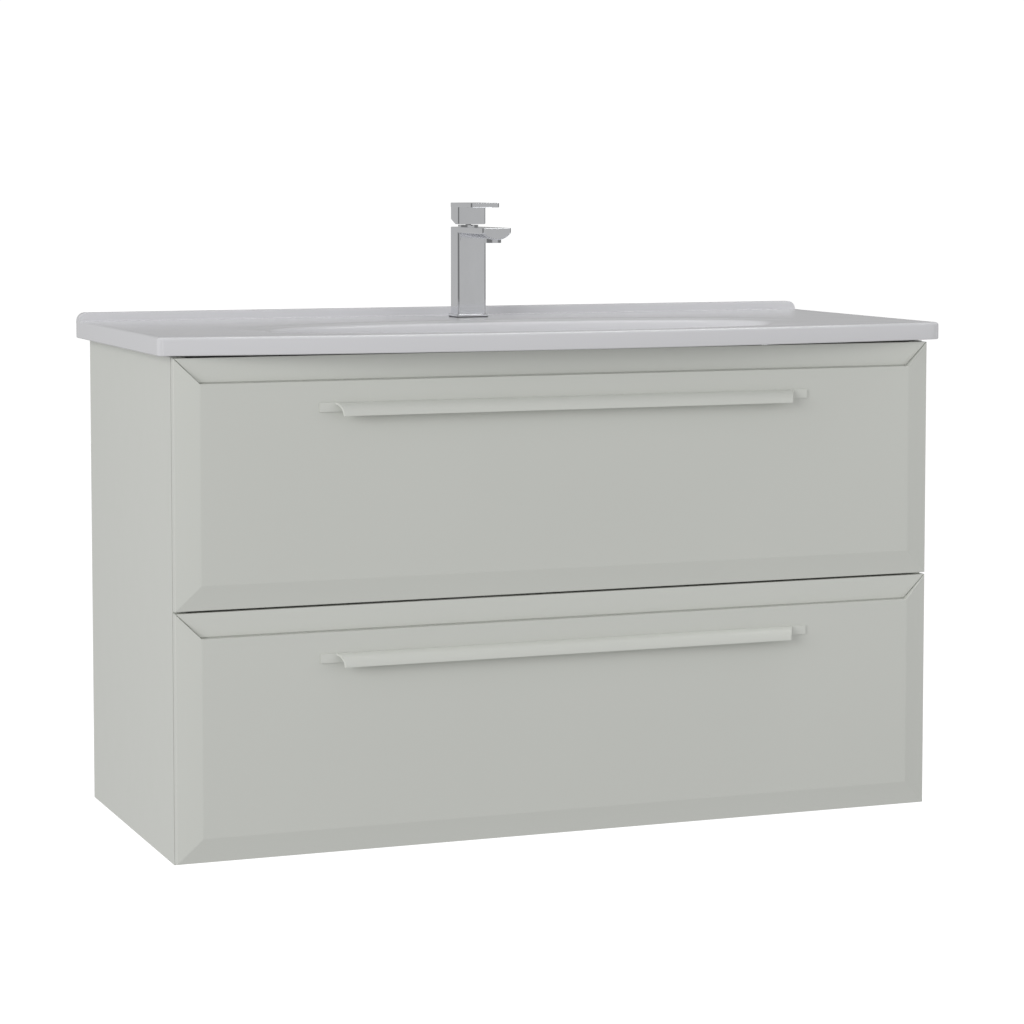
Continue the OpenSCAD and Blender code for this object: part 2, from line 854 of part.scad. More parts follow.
module drain_body() {
    color(chrome) translate([0, waste_y, 0]) difference() {
        union() {
            translate([0, 0, waste_z - flange_t]) cylinder(h = flange_t, r = flange_r);
            translate([0, 0, drain_bottom_z])
                cylinder(h = waste_z - flange_t - drain_bottom_z, r = drain_r);
        }
        difference() {
            translate([0, 0, drain_bottom_z - cut])
                cylinder(h = waste_z - drain_bottom_z + 2 * cut, r = drain_bore_r);
            // Spider with the guide for the plug's stem
            translate([0, 0, spider_z]) difference() {
                union() {
                    cylinder(h = spider_h, r = guide_r);
                    for (a = [0, 60, 120]) rotate([0, 0, a])
                        translate([-drain_r, -spider_arm / 2, 0])
                            cube([2 * drain_r, spider_arm, spider_h]);
                }
                translate([0, 0, -cut]) cylinder(h = spider_h + 2 * cut, r = plug_stem_r + fit_gap);
            }
        }
        // Overflow windows
        for (a = [0, 90]) rotate([0, 0, a])
            span([-drain_r - cut, -drain_window_w / 2, waste_z - 2 * drain_window_h],
                [drain_r + cut, drain_window_w / 2, waste_z - drain_window_h]);
    }
}

module drain_gasket() {
    z = waste_z - waste_boss_h;
    color(black_rubber) translate([0, waste_y, 0]) tube(z - gasket_t, z, flange_r, drain_r + fit_gap);
}

module drain_nut() {
    z = waste_z - waste_boss_h - gasket_t;
    color(zinc) translate([0, waste_y, z - drain_nut_h]) difference() {
        cylinder(h = drain_nut_h, r = drain_nut_r, $fn = 6);
        translate([0, 0, -cut]) cylinder(h = drain_nut_h + 2 * cut, r = drain_r + fit_gap);
    }
}

module drain_plug() {
    color(chrome) translate([0, waste_y, waste_z]) {
        translate([0, 0, slide_gap]) domed_disc(plug_r, plug_t, plug_dome_r);
        translate([0, 0, -plug_stem_l]) cylinder(h = plug_stem_l + plug_t / 2, r = plug_stem_r);
    }
}

// Finger ribs round a cylinder of radius r, from z0 to z1
module grip_ribs(count, r, z0, z1) {
    for (i = [1 : count]) rotate([0, 0, i * 360 / count])
        span([r - cut / 2, -rib_w / 2, z0], [r + rib_out, rib_w / 2, z1]);
}

module trap_inlet() {
    color(white_plastic) translate([0, waste_y, 0])
        tube(dip_z, drain_bottom_z - slide_gap, pipe_r, pipe_bore_r);
}

module trap_bottle() {
    color(white_plastic) difference() {
        translate([0, waste_y, 0]) union() {
            translate([0, 0, bottle_z[0]])
                cylinder(h = bottle_z[1] - bottle_z[0], r = bottle_r);
            translate([0, 0, bottle_z[1]]) cylinder(h = bottle_neck_l, r = drain_r);
            translate([0, 0, outlet_z]) bar_y(0, bottle_r + bottle_neck_l, drain_r);
        }
        translate([0, waste_y, 0]) {
            translate([0, 0, bottle_z[0] - cut])
                cylinder(h = bottle_z[1] - bottle_z[0] - bottle_wall + cut, r = bottle_r - bottle_wall);
            translate([0, 0, outlet_z])
                cylinder(h = nut_h + 2 * bottle_neck_l, r = pipe_r + fit_gap);
            translate([0, 0, outlet_z]) bar_y(0, bottle_r + bottle_neck_l + cut, pipe_r + fit_gap);
        }
    }
}

module trap_cup() {
    color(white_plastic) translate([0, waste_y, 0]) {
        difference() {
            translate([0, 0, cup_z[0]]) cylinder(h = cup_z[1] - cup_z[0], r = cup_r);
            translate([0, 0, cup_z[0] + cup_wall])
                cylinder(h = cup_z[1] - cup_z[0], r = cup_r - cup_wall);
        }
        grip_ribs(12, cup_r, cup_z[0], cup_z[1] - 2 * rib_w);
    }
}

module trap_outlet() {
    color(white_plastic) translate([0, 0, outlet_z]) difference() {
        union() {
            bar_y(waste_y + bottle_r + cut, 0, pipe_r);
            bar_y(-cut, pipe_out, pipe_end_r);
        }
        bar_y(waste_y + bottle_r, pipe_out + cut, pipe_bore_r);
    }
}

// Ribbed union nut round a pipe, its open end towards +Z
module trap_nut() {
    difference() {
        union() {
            cylinder(h = nut_h, r = nut_r);
            grip_ribs(8, nut_r, rib_w, nut_h);
        }
        translate([0, 0, nut_lip]) cylinder(h = nut_h, r = drain_r + fit_gap);
        translate([0, 0, -cut]) cylinder(h = nut_h + 2 * cut, r = pipe_r + fit_gap);
    }
}

module trap_nuts() {
    neck_z = bottle_z[1] + bottle_neck_l;
    neck_y = waste_y + bottle_r + bottle_neck_l;
    color(white_plastic) {
        translate([0, waste_y, drain_bottom_z - nut_lip]) trap_nut();
        translate([0, waste_y, neck_z + nut_lip]) mirror([0, 0, 1]) trap_nut();
        translate([0, neck_y + nut_lip, outlet_z]) rotate([90, 0, 0]) trap_nut();
    }
}

module wall_rosette() {
    color(chrome) translate([0, 0, outlet_z]) difference() {
        rotate([90, 0, 0]) domed_disc(rosette_r, rosette_t, rosette_dome_r);
        bar_y(-rosette_t - cut, cut, pipe_r + fit_gap);
    }
}

// ---------------------------------------------------------------- tap

module spout_profile() {
    intersection() {
        translate([-tap_w / 2, -spout_h]) square([tap_w, spout_h]);
        translate([0, belly_r - spout_h]) circle(r = belly_r, $fn = fine_fn);
    }
}

module tap_body() {
    color(chrome) difference() {
        union() {
            span([-tap_w / 2, tap_front_y, deck_z + base_t], [tap_w / 2, tap_rear_y, tap_top_z]);
            translate([0, tap_front_y - hairline, tap_top_z]) rotate([90, 0, 0])
                linear_extrude(height = spout_reach - hairline) spout_profile();
        }
        translate([0, tap_y, nut_ring_top - nut_ring_h])
            cylinder(h = nut_ring_h, r = nut_ring_r + fit_gap);
        translate([0, tap_y, nut_ring_top - nut_ring_h - cartridge_l])
            cylinder(h = cartridge_l + cut, r = cartridge_r + fit_gap);
        // Way for the water along the spout, and the aerator's seat
        translate([0, 0, tap_top_z - waterway_drop])
            bar_y(tap_front_y - spout_reach + aerator_inset, tap_y, waterway_r);
        translate([0, tap_front_y - spout_reach + aerator_inset, tap_top_z - spout_h - cut])
            cylinder(h = aerator_h - aerator_drop + cut, r = aerator_r + fit_gap);
        // Threaded inlets, their feeds up to the cartridge, and the stud's hole
        for (x = [-inlet_x, inlet_x]) translate([x, inlet_y, deck_z + base_t - cut]) {
            cylinder(h = inlet_l + cut, r = inlet_r);
            cylinder(h = nut_ring_top - nut_ring_h - cartridge_l - deck_z - base_t + 2 * cut, r = feed_r);
        }
        translate([0, stud_y, deck_z + base_t - cut]) cylinder(h = stud_top + cut, r = stud_r + fit_gap);
    }
}

module tap_base() {
    color(chrome) difference() {
        span([-tap_w / 2 - base_margin, tap_front_y - base_margin, deck_z],
            [tap_w / 2 + base_margin, tap_rear_y + base_margin, deck_z + base_t]);
        translate([0, tap_y, deck_z - cut]) cylinder(h = base_t + 2 * cut, r = base_hole_r);
    }
}

module tap_cartridge() {
    z = nut_ring_top - nut_ring_h - cartridge_l;
    color(white_plastic) translate([0, tap_y, 0]) difference() {
        translate([0, 0, z]) cylinder(h = cartridge_l, r = cartridge_r);
        translate([0, 0, collar_z[0] - slide_gap]) cylinder(h = cartridge_l, r = collar_r + fit_gap);
    }
}

module cartridge_nut() {
    color(chrome) translate([0, tap_y, 0]) difference() {
        tube(nut_ring_top - nut_ring_h, nut_ring_top, nut_ring_r, nut_ring_bore);
        for (a = [0, 90]) rotate([0, 0, a])
            span([-nut_ring_r - cut, -nut_slot_w / 2, nut_ring_top - nut_slot_depth],
                [nut_ring_r + cut, nut_slot_w / 2, nut_ring_top + cut]);
    }
}

module tap_aerator() {
    z = tap_top_z - spout_h - aerator_drop;
    color(chrome) translate([0, tap_front_y - spout_reach + aerator_inset, z]) difference() {
        cylinder(h = aerator_h, r = aerator_r);
        translate([0, 0, -cut]) cylinder(h = aerator_rim_h + cut, r = aerator_r - aerator_rim_w);
        for (x = aerator_grid, y = aerator_grid) if (norm([x, y]) < aerator_face_r)
            translate([x, y, 0]) cylinder(h = aerator_h + cut, r = aerator_hole_r);
    }
}

module tap_stud() {
    color(steel) translate([0, stud_y, basin_z - stud_drop])
        cylinder(h = stud_drop + basin_edge_h + base_t + stud_top - cut, r = stud_r);
}

module tap_washer() {
    color(steel) difference() {
        intersection() {
            translate([0, tap_y, basin_z - washer_t]) cylinder(h = washer_t, r = washer_r);
            span([-washer_r, tap_y - washer_r, basin_z - washer_t], [washer_r, washer_cut_y, basin_z]);
        }
        translate([0, stud_y, basin_z - washer_t - cut])
            cylinder(h = washer_t + 2 * cut, r = stud_r + fit_gap);
    }
}

module stud_nut() {
    z = basin_z - washer_t - stud_nut_h;
    color(zinc) translate([0, stud_y, z]) difference() {
        cylinder(h = stud_nut_h, r = stud_nut_r, $fn = 6);
        translate([0, 0, -cut]) cylinder(h = stud_nut_h + 2 * cut, r = stud_r + fit_gap);
    }
}

// Turns in the cartridge with the lever
module cartridge_collar() {
    color(zinc) translate([0, tap_y, 0]) difference() {
        translate([0, 0, collar_z[0]]) cylinder(h = collar_z[1] - collar_z[0], r = collar_r);
        span([-slot_w / 2, -slot_l / 2, pivot_z - slot_floor], [slot_w / 2, slot_l / 2, collar_z[1] + cut]);
        translate([0, 0, pivot_z]) bar_x(-collar_r - cut, collar_r + cut, pin_r + fit_gap / 2);
    }
}

module pivot_pin() {
    color(steel) translate([0, tap_y, pivot_z]) bar_x(-pin_l / 2, pin_l / 2, pin_r);
}

module lever_stem() {
    color(zinc) difference() {
        span([-stem_w / 2, tap_y - stem_w / 2, stem_z[0]], [stem_w / 2, tap_y + stem_w / 2, stem_z[1]]);
        translate([0, tap_y, pivot_z]) bar_x(-stem_w, stem_w, pin_r + fit_gap);
    }
}

module tap_handle() {
    top = lever_z + lever_block_h;
    color(chrome) difference() {
        union() {
            profile_x(lever_step - tap_w / 2, tap_w / 2 - lever_step)
                polygon([[tap_front_y + lever_step, lever_z], [tap_y, lever_z],
                    [tap_rear_y, lever_z + lever_chamfer_h], [tap_rear_y, top + cut],
                    [tap_front_y + lever_step, top + cut]]);
            span([-tap_w / 2, tap_front_y - lever_reach, top], [tap_w / 2, tap_rear_y, top + lever_plate_t]);
        }
        span([-stem_w / 2 - fit_gap, tap_y - stem_w / 2 - fit_gap, lever_z - cut],
            [stem_w / 2 + fit_gap, tap_y + stem_w / 2 + fit_gap, stem_z[1] + fit_gap]);
        translate([0, 0, grub_z]) bar_y(tap_y, tap_rear_y + cut, grub_r + fit_gap);
    }
}

module handle_screw() {
    color(steel) translate([0, 0, grub_z]) difference() {
        bar_y(tap_y + stem_w / 2, tap_y + stem_w / 2 + grub_l, grub_r);
        translate([0, tap_y + stem_w / 2 + grub_l, 0]) cube(grub_r, center = true);
    }
}

// ---------------------------------------------------------------- nodes

side_panel(-1);  // side_left
side_panel(1);  // side_right
bottom_panel();
rear_rail();
lower_rail();
back_panel();
cam_fittings();
wall_plates();
hanger(-1);  // hanger_left
hanger(1);  // hanger_right
panel_screws();
runner_rails();
basin();
basin_seal();
overflow_ring();
drain_body();
drain_gasket();
drain_nut();
trap_inlet();
trap_bottle();
trap_cup();
trap_outlet();
trap_nuts();
wall_rosette();
tap_body();
tap_base();
tap_cartridge();
cartridge_nut();
tap_aerator();
tap_stud();
tap_washer();
stud_nut();
cartridge_collar();
pivot_pin();
tap_handle();
lever_stem();
handle_screw();
drain_plug();
runner_slides(upper_z);  // upper_runner_slides
runner_slides(lower_z);  // lower_runner_slides
drawer_front(upper_z);  // upper_front
handle(upper_z);  // upper_handle
handle_screws(upper_z);  // upper_handle_screws
drawer_side(-1, upper_z, upper_side_h);  // upper_side_left
drawer_side(1, upper_z, upper_side_h);  // upper_side_right
upper_bottom();
upper_back(-1);  // upper_back_left
upper_back(1);  // upper_back_right
recess_side(-1);  // recess_left
recess_side(1);  // recess_right
recess_front();
runner_members(upper_z);  // upper_runner_members
drawer_front(lower_z);  // lower_front
handle(lower_z);  // lower_handle
handle_screws(lower_z);  // lower_handle_screws
drawer_side(-1, lower_z, lower_side_h);  // lower_side_left
drawer_side(1, lower_z, lower_side_h);  // lower_side_right
lower_bottom();
lower_back();
runner_members(lower_z);  // lower_runner_members
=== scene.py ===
"""Looks of the wall-hung vanity cabinet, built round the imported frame."""
import math

import bmesh
import bpy
import numpy as np
from mathutils import Matrix, Vector


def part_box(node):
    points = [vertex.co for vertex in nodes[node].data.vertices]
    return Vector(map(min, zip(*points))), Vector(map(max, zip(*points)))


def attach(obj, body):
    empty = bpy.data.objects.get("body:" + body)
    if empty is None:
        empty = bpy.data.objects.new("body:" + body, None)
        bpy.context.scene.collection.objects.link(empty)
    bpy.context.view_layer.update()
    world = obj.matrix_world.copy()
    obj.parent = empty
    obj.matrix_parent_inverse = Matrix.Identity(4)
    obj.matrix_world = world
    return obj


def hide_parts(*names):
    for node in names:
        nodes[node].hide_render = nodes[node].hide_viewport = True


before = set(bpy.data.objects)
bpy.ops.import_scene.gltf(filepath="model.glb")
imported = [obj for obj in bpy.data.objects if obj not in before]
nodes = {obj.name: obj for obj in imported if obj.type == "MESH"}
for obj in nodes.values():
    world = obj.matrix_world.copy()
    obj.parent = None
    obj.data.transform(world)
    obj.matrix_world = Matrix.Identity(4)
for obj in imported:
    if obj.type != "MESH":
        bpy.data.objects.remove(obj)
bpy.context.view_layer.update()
scene = bpy.context.scene
MM = 0.001


# ---------------------------------------------------------------- node materials

class Graph:
    """Short calls for building one material's node tree."""

    def __init__(self, name):
        self.material = bpy.data.materials.new(name)
        self.material.use_nodes = True
        self.tree = self.material.node_tree
        self.shader = self.tree.nodes["Principled BSDF"]
        coords = self.tree.nodes.new("ShaderNodeTexCoord")
        self.coords = coords.outputs["Object"]

    def link(self, out, into):
        self.tree.links.new(out, into)

    def node(self, kind, **values):
        made = self.tree.nodes.new(kind)
        for key, value in values.items():
            setattr(made, key, value)
        return made

    def stretched(self, scale):
        """Object coordinates with their own scale along each axis."""
        mapping = self.node("ShaderNodeMapping")
        mapping.inputs["Scale"].default_value = scale
        self.link(self.coords, mapping.inputs["Vector"])
        return mapping.outputs["Vector"]

    def noise(self, scale, detail=2.0, rough=0.5, vector=None):
        made = self.node("ShaderNodeTexNoise")
        made.inputs["Scale"].default_value = scale
        made.inputs["Detail"].default_value = detail
        made.inputs["Roughness"].default_value = rough
        self.link(vector or self.coords, made.inputs["Vector"])
        return made.outputs["Fac"]

    def cells(self, scale, output="Distance"):
        made = self.node("ShaderNodeTexVoronoi")
        made.inputs["Scale"].default_value = scale
        self.link(self.coords, made.inputs["Vector"])
        return made.outputs[output]

    def span(self, value, low, high, out_low, out_high):
        made = self.node("ShaderNodeMapRange")
        for name, number in (("From Min", low), ("From Max", high),
                             ("To Min", out_low), ("To Max", out_high)):
            made.inputs[name].default_value = number
        self.link(value, made.inputs["Value"])
        return made.outputs["Result"]

    def blend(self, factor, first, second):
        """Colour between first and second; each is a colour or a socket."""
        made = self.node("ShaderNodeMix", data_type="RGBA")
        self.link(factor, made.inputs[0])
        for socket, colour in ((made.inputs[6], first), (made.inputs[7], second)):
            if isinstance(colour, bpy.types.NodeSocket):
                self.link(colour, socket)
            else:
                socket.default_value = (*colour, 1.0)
        return made.outputs[2]

    def bump(self, height, distance, strength=1.0, normal=None):
        made = self.node("ShaderNodeBump")
        made.inputs["Strength"].default_value = strength
        made.inputs["Distance"].default_value = distance
        self.link(height, made.inputs["Height"])
        if normal:
            self.link(normal, made.inputs["Normal"])
        return made.outputs["Normal"]

    def edges(self, low=0.505, high=0.56):
        """1 along outer edges, 0 on flat faces; the mask for the painted edge highlights."""
        made = self.node("ShaderNodeNewGeometry")
        return self.span(made.outputs["Pointiness"], low, high, 0.0, 1.0)

    def finish(self, colour, roughness, normal=None, **sockets):
        for name, value in (("Base Color", colour), ("Roughness", roughness), ("Normal", normal)):
            if isinstance(value, bpy.types.NodeSocket):
                self.link(value, self.shader.inputs[name])
            elif value is not None:
                self.shader.inputs[name].default_value = value
        for name, value in sockets.items():
            self.shader.inputs[name.replace("_", " ")].default_value = value
        return self.material


def shade(colour, factor):
    return tuple(min(1.0, c * factor) for c in colour)


def lacquer(name, colour, peel=0.35):
    """Satin sprayed lacquer: slow tone drift, fine orange peel, and a painted highlight that lightens
    the outer edges.
    """
    g = Graph(name)
    tone = g.blend(g.noise(5.0, 3.0), shade(colour, 0.982), shade(colour, 1.018))
    # Painted highlight: outer edges lightened by 6%, standing in for light caught along the rounded
    # edges.
    tone = g.blend(g.edges(), tone, shade(colour, 1.06))
    rough = g.span(g.noise(22.0, 5.0, 0.6), 0.3, 0.7, 0.40, 0.50)
    waves = g.bump(g.noise(60.0, 1.0), 0.00006, peel)
    normal = g.bump(g.noise(420.0, 2.0), 0.00002, peel, waves)
    return g.finish(tone, rough, normal, Coat_Weight=0.12, Coat_Roughness=0.35)


def melamine(name, colour):
    """White board with the fine pearl press of melamine."""
    g = Graph(name)
    tone = g.blend(g.noise(7.0, 3.0), shade(colour, 0.975), colour)
    tone = g.blend(g.span(g.cells(900.0), 0.0, 0.6, 0.0, 0.35), tone, shade(colour, 0.95))
    rough = g.span(g.noise(35.0, 4.0), 0.3, 0.7, 0.42, 0.56)
    normal = g.bump(g.cells(620.0), 0.00005, 0.5)
    return g.finish(tone, rough, normal)


def glaze(name, colour):
    """Glossy fired glaze: faint waves in the surface and a very slow tone drift."""
    g = Graph(name)
    tone = g.blend(g.noise(4.0, 2.0), shade(colour, 0.985), shade(colour, 1.01))
    tone = g.blend(g.span(g.noise(380.0, 2.0), 0.70, 0.78, 0.0, 0.25), tone, shade(colour, 0.93))
    rough = g.span(g.noise(16.0, 3.0), 0.3, 0.7, 0.165, 0.18)
    normal = g.bump(g.noise(30.0, 0.0), 0.000003, 0.1)
    return g.finish(tone, rough, normal, Coat_Weight=0.15, Coat_Roughness=0.12)


def plated(name, colour, low, high):
    """Polished plating with faint wiped smudges."""
    g = Graph(name)
    smear = g.noise(30.0, 6.0, 0.65, g.stretched((1.0, 1.0, 0.35)))
    tone = g.blend(g.span(smear, 0.35, 0.7, 0.0, 1.0), shade(colour, 0.96), shade(colour, 1.02))
    rough = g.span(smear, 0.3, 0.72, low, high)
    normal = g.bump(g.noise(900.0, 2.0), 0.000004, 0.4)
    return g.finish(tone, rough, normal, Metallic=1.0)


def zinc_plate(name, colour):
    """Bright zinc: spangled grains and fine rolling lines."""
    g = Graph(name)
    grains = g.cells(160.0, "Color")
    tone = g.blend(g.span(grains, 0.2, 0.8, 0.0, 1.0), shade(colour, 0.9), shade(colour, 1.08))
    lines = g.noise(140.0, 3.0, 0.6, g.stretched((1.0, 0.06, 1.0)))
    rough = g.span(lines, 0.3, 0.7, 0.26, 0.42)
    normal = g.bump(lines, 0.00001, 0.5)
    return g.finish(tone, rough, normal, Metallic=1.0)


def moulded(name, colour, low, high, grain=650.0, depth=0.00003):
    """Moulded plastic or rubber: fine spark-eroded grain, soft tone drift and a painted highlight
    along the outer edges.
    """
    g = Graph(name)
    tone = g.blend(g.noise(14.0, 4.0), shade(colour, 0.95), shade(colour, 1.03))
    # Painted highlight: outer edges lightened by 10%, standing in for light caught along the edges.
    tone = g.blend(g.edges(), tone, shade(colour, 1.1))
    rough = g.span(g.noise(45.0, 4.0), 0.3, 0.7, low, high)
    normal = g.bump(g.noise(grain, 2.0), depth, 0.6)
    return g.finish(tone, rough, normal)


LACQUER = (0.655, 0.668, 0.628)
GLAZE = (0.735, 0.735, 0.757)
made = {
    "lacquered_board": lacquer("lacquered_board", LACQUER),
    "lacquered_metal": lacquer("lacquered_metal", shade(LACQUER, 1.02), 0.25),
    "white_board": melamine("white_board", (0.80, 0.80, 0.785)),
    "ceramic": glaze("ceramic", GLAZE),
    "chrome": plated("chrome", (0.85, 0.86, 0.88), 0.03, 0.07),
    "white_rubber": moulded("white_rubber", (0.74, 0.74, 0.73), 0.5, 0.62, 300.0),
    "black_rubber": moulded("black_rubber", (0.028, 0.028, 0.030), 0.6, 0.75, 260.0),
    "white_plastic": moulded("white_plastic", (0.79, 0.79, 0.78), 0.34, 0.46),
    "zinc_steel": zinc_plate("zinc_steel", (0.58, 0.59, 0.60)),
}


# ---------------------------------------------------------------- soft edges on the CAD nodes

def clean_group():
    """Joins split vertices and sets smooth faces with sharp edges over 12 degrees."""
    group = bpy.data.node_groups.new("clean_mesh", "GeometryNodeTree")
    group.interface.new_socket("Geometry", in_out="INPUT", socket_type="NodeSocketGeometry")
    group.interface.new_socket("Geometry", in_out="OUTPUT", socket_type="NodeSocketGeometry")
    new, link = group.nodes.new, group.links.new
    start, end = new("NodeGroupInput"), new("NodeGroupOutput")
    merge = new("GeometryNodeMergeByDistance")
    merge.inputs["Distance"].default_value = 0.00001
    forget = new("GeometryNodeRemoveAttribute")
    forget.inputs["Name"].default_value = "custom_normal"
    faces = new("GeometryNodeSetShadeSmooth")
    faces.domain = "FACE"
    sharp = new("GeometryNodeSetShadeSmooth")
    sharp.domain = "EDGE"
    sharp.inputs["Shade Smooth"].default_value = False
    angle = new("GeometryNodeInputMeshEdgeAngle")
    over = new("FunctionNodeCompare")
    over.data_type = "FLOAT"
    over.operation = "GREATER_THAN"
    over.inputs["B"].default_value = math.radians(12)
    link(start.outputs[0], merge.inputs["Geometry"])
    link(merge.outputs["Geometry"], forget.inputs["Geometry"])
    link(forget.outputs["Geometry"], faces.inputs["Geometry"])
    link(faces.outputs["Geometry"], sharp.inputs["Geometry"])
    link(angle.outputs["Unsigned Angle"], over.inputs["A"])
    link(over.outputs["Result"], sharp.inputs["Selection"])
    link(sharp.outputs["Geometry"], end.inputs[0])
    return group


def flat_group(least):
    """Shades faces larger than an area flat, so a board's big faces stay even round its holes."""
    group = bpy.data.node_groups.new("flat_faces", "GeometryNodeTree")
    group.interface.new_socket("Geometry", in_out="INPUT", socket_type="NodeSocketGeometry")
    group.interface.new_socket("Geometry", in_out="OUTPUT", socket_type="NodeSocketGeometry")
    new, link = group.nodes.new, group.links.new
    start, end = new("NodeGroupInput"), new("NodeGroupOutput")
    faces = new("GeometryNodeSetShadeSmooth")
    faces.domain = "FACE"
    faces.inputs["Shade Smooth"].default_value = False
    area = new("GeometryNodeInputMeshFaceArea")
    over = new("FunctionNodeCompare")
    over.data_type = "FLOAT"
    over.operation = "GREATER_THAN"
    over.inputs["B"].default_value = least
    link(start.outputs[0], faces.inputs["Geometry"])
    link(area.outputs["Area"], over.inputs["A"])
    link(over.outputs["Result"], faces.inputs["Selection"])
    link(faces.outputs["Geometry"], end.inputs[0])
    return group


CLEAN = clean_group()
FLAT = flat_group(0.0006)


def soften(piece, width, flat_faces, segments=2):
    """Rounds a piece's edges without changing its mesh."""
    clean = piece.modifiers.new("clean", "NODES")
    clean.node_group = CLEAN
    if width:
        flat = piece.modifiers.new("flat", "DECIMATE")
        flat.decimate_type = "DISSOLVE"
        flat.angle_limit = math.radians(0.3)
        bevel = piece.modifiers.new("edge", "BEVEL")
        bevel.width = width
        bevel.segments = segments
        bevel.limit_method = "ANGLE"
        bevel.angle_limit = math.radians(12)
        bevel.harden_normals = False
    if flat_faces:
        even = piece.modifiers.new("even", "NODES")
        even.node_group = FLAT
    else:
        normals = piece.modifiers.new("normals", "WEIGHTED_NORMAL")
        normals.keep_sharp = True


EDGE = {
    "lacquered_board": 0.4 * MM, "lacquered_metal": 0.0, "white_board": 0.5 * MM,
    "chrome": 0.8 * MM, "zinc_steel": 0.25 * MM, "white_plastic": 0.5 * MM,
    "white_rubber": 0.3 * MM, "black_rubber": 0.3 * MM, "ceramic": 1.5 * MM,
}

for name, piece in nodes.items():
    slot = piece.material_slots[0].material.name.split(".")[0]
    for place in piece.material_slots:
        place.material = made[place.material.name.split(".")[0]]
    soften(piece, EDGE[slot], slot in ("lacquered_board", "white_board"))


def add_piece(name, mesh, slot, body="cabinet"):
    piece = bpy.data.objects.new(name, mesh)
    scene.collection.objects.link(piece)
    if slot in made:
        mesh.materials.clear()
        mesh.materials.append(made[slot])
    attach(piece, body)
    return piece


# ---------------------------------------------------------------- drawer fronts

# Width of the bands, how far they fall, and the groove along the top band
BAND, FALL, KERF = 30 * MM, 8 * MM, 1.5 * MM


def front_panel(node, body):
    """One framed front, with soft edges all round and a fine groove along its top band."""
    low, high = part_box(node)
    x0, x1, z0, z1 = low.x, high.x, low.z, high.z
    y0, y1, y2, back = low.y, low.y + FALL, low.y + FALL + KERF, high.y
    xa, xb, za, zb = x0 + BAND, x1 - BAND, z0 + BAND, z1 - BAND
    bm = bmesh.new()

    def v(x, y, z):
        return bm.verts.new((x, y, z))

    a, b, c, d = v(xa, y0, za), v(xb, y0, za), v(xb, y0, zb), v(xa, y0, zb)
    e, f, g, h = v(x0, y1, z0), v(x1, y1, z0), v(x1, y1, z1), v(x0, y1, z1)
    ba, bb, bc, bd = v(x0, back, z0), v(x1, back, z0), v(x1, back, z1), v(x0, back, z1)
    # Groove floor, its outer line under the mitres and its inner line, and the top band's edge
    go, gp, gq, gr = v(x0, y2, z1), v(xa, y2, zb), v(xb, y2, zb), v(x1, y2, z1)
    zk = zb + KERF
    gi, gj, gk, gl = v(x0 + KERF, y2, z1), v(xa, y2, zk), v(xb, y2, zk), v(x1 - KERF, y2, z1)
    ti, tj, tk, tl = v(x0 + KERF, y1, z1), v(xa, y1, zk), v(xb, y1, zk), v(x1 - KERF, y1, z1)
    quads = [(a, b, c, d), (e, a, d, h), (b, f, g, c), (e, f, b, a),
             (d, gp, go, h), (c, g, gr, gq), (d, c, gq, gp),
             (gp, gj, gi, go), (gp, gq, gk, gj), (gq, gr, gl, gk),
             (gj, tj, ti, gi), (gk, tk, tj, gj), (gl, tl, tk, gk), (ti, tj, tk, tl),
             (ba, bd, bc, bb), (e, ba, bb, f), (e, h, go, bd, ba), (f, bb, bc, gr, g),
             (bd, go, gi, ti, tl, gl, gr, bc)]
    for corners in quads:
        bm.faces.new(corners)
    bmesh.ops.recalc_face_normals(bm, faces=bm.faces)
    groove = {go, gp, gq, gr, gi, gj, gk, gl, ti, tj, tk, tl}
    weight = bm.edges.layers.float.new("bevel_weight_edge")
    for edge in bm.edges:
        edge[weight] = 0.0 if set(edge.verts) & (groove | {ba, bb, bc, bd}) else 1.0
    for edge in bm.edges:
        if set(edge.verts) in ({c, d}, {c, g}, {d, h}):
            edge[weight] = 0.6
    mesh = bpy.data.meshes.new(node + "_panel")
    bm.to_mesh(mesh)
    bm.free()
    piece = add_piece(node + "_panel", mesh, "lacquered_board", body)
    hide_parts(node)
    bevel = piece.modifiers.new("edge", "BEVEL")
    bevel.width, bevel.segments, bevel.limit_method = 0.7 * MM, 2, "WEIGHT"
    bevel.use_clamp_overlap = False
    return piece


for node, body in (("upper_front", "upper_drawer"), ("lower_front", "lower_drawer")):
    front_panel(node, body)


# ---------------------------------------------------------------- ceramic basin

BASIN_LOW, BASIN_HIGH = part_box("basin")
HALF_W = BASIN_HIGH.x                     # half width of the slab
BOW = 45 * MM                             # how far the middle of the front bows forward
CORNER_Y = BASIN_LOW.y + BOW              # front corners
DECK_Z, SLAB_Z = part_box("tap_base")[0].z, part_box("basin_seal")[1].z
BOWL_C, BOWL_RX, BOWL_RY, BOWL_DEEP = Vector((0, -285 * MM)), 330 * MM, 112 * MM, 102 * MM
DISH_C, DISH_RX, DISH_RY, DISH_DEEP = Vector((0, -304 * MM)), 375 * MM, 150 * MM, 8 * MM
SHELL = 9 * MM                            # wall of the bowl
DRAIN_LOW, DRAIN_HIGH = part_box("drain_nut")
DRAIN_C = Vector((0, (DRAIN_LOW.y + DRAIN_HIGH.y) / 2))
DRAIN_Z = DECK_Z - BOWL_DEEP              # lowest level of the bowl, at the drain
RECESS_R, HOLE_R, BOSS_R = 31.8 * MM, 23 * MM, 40 * MM


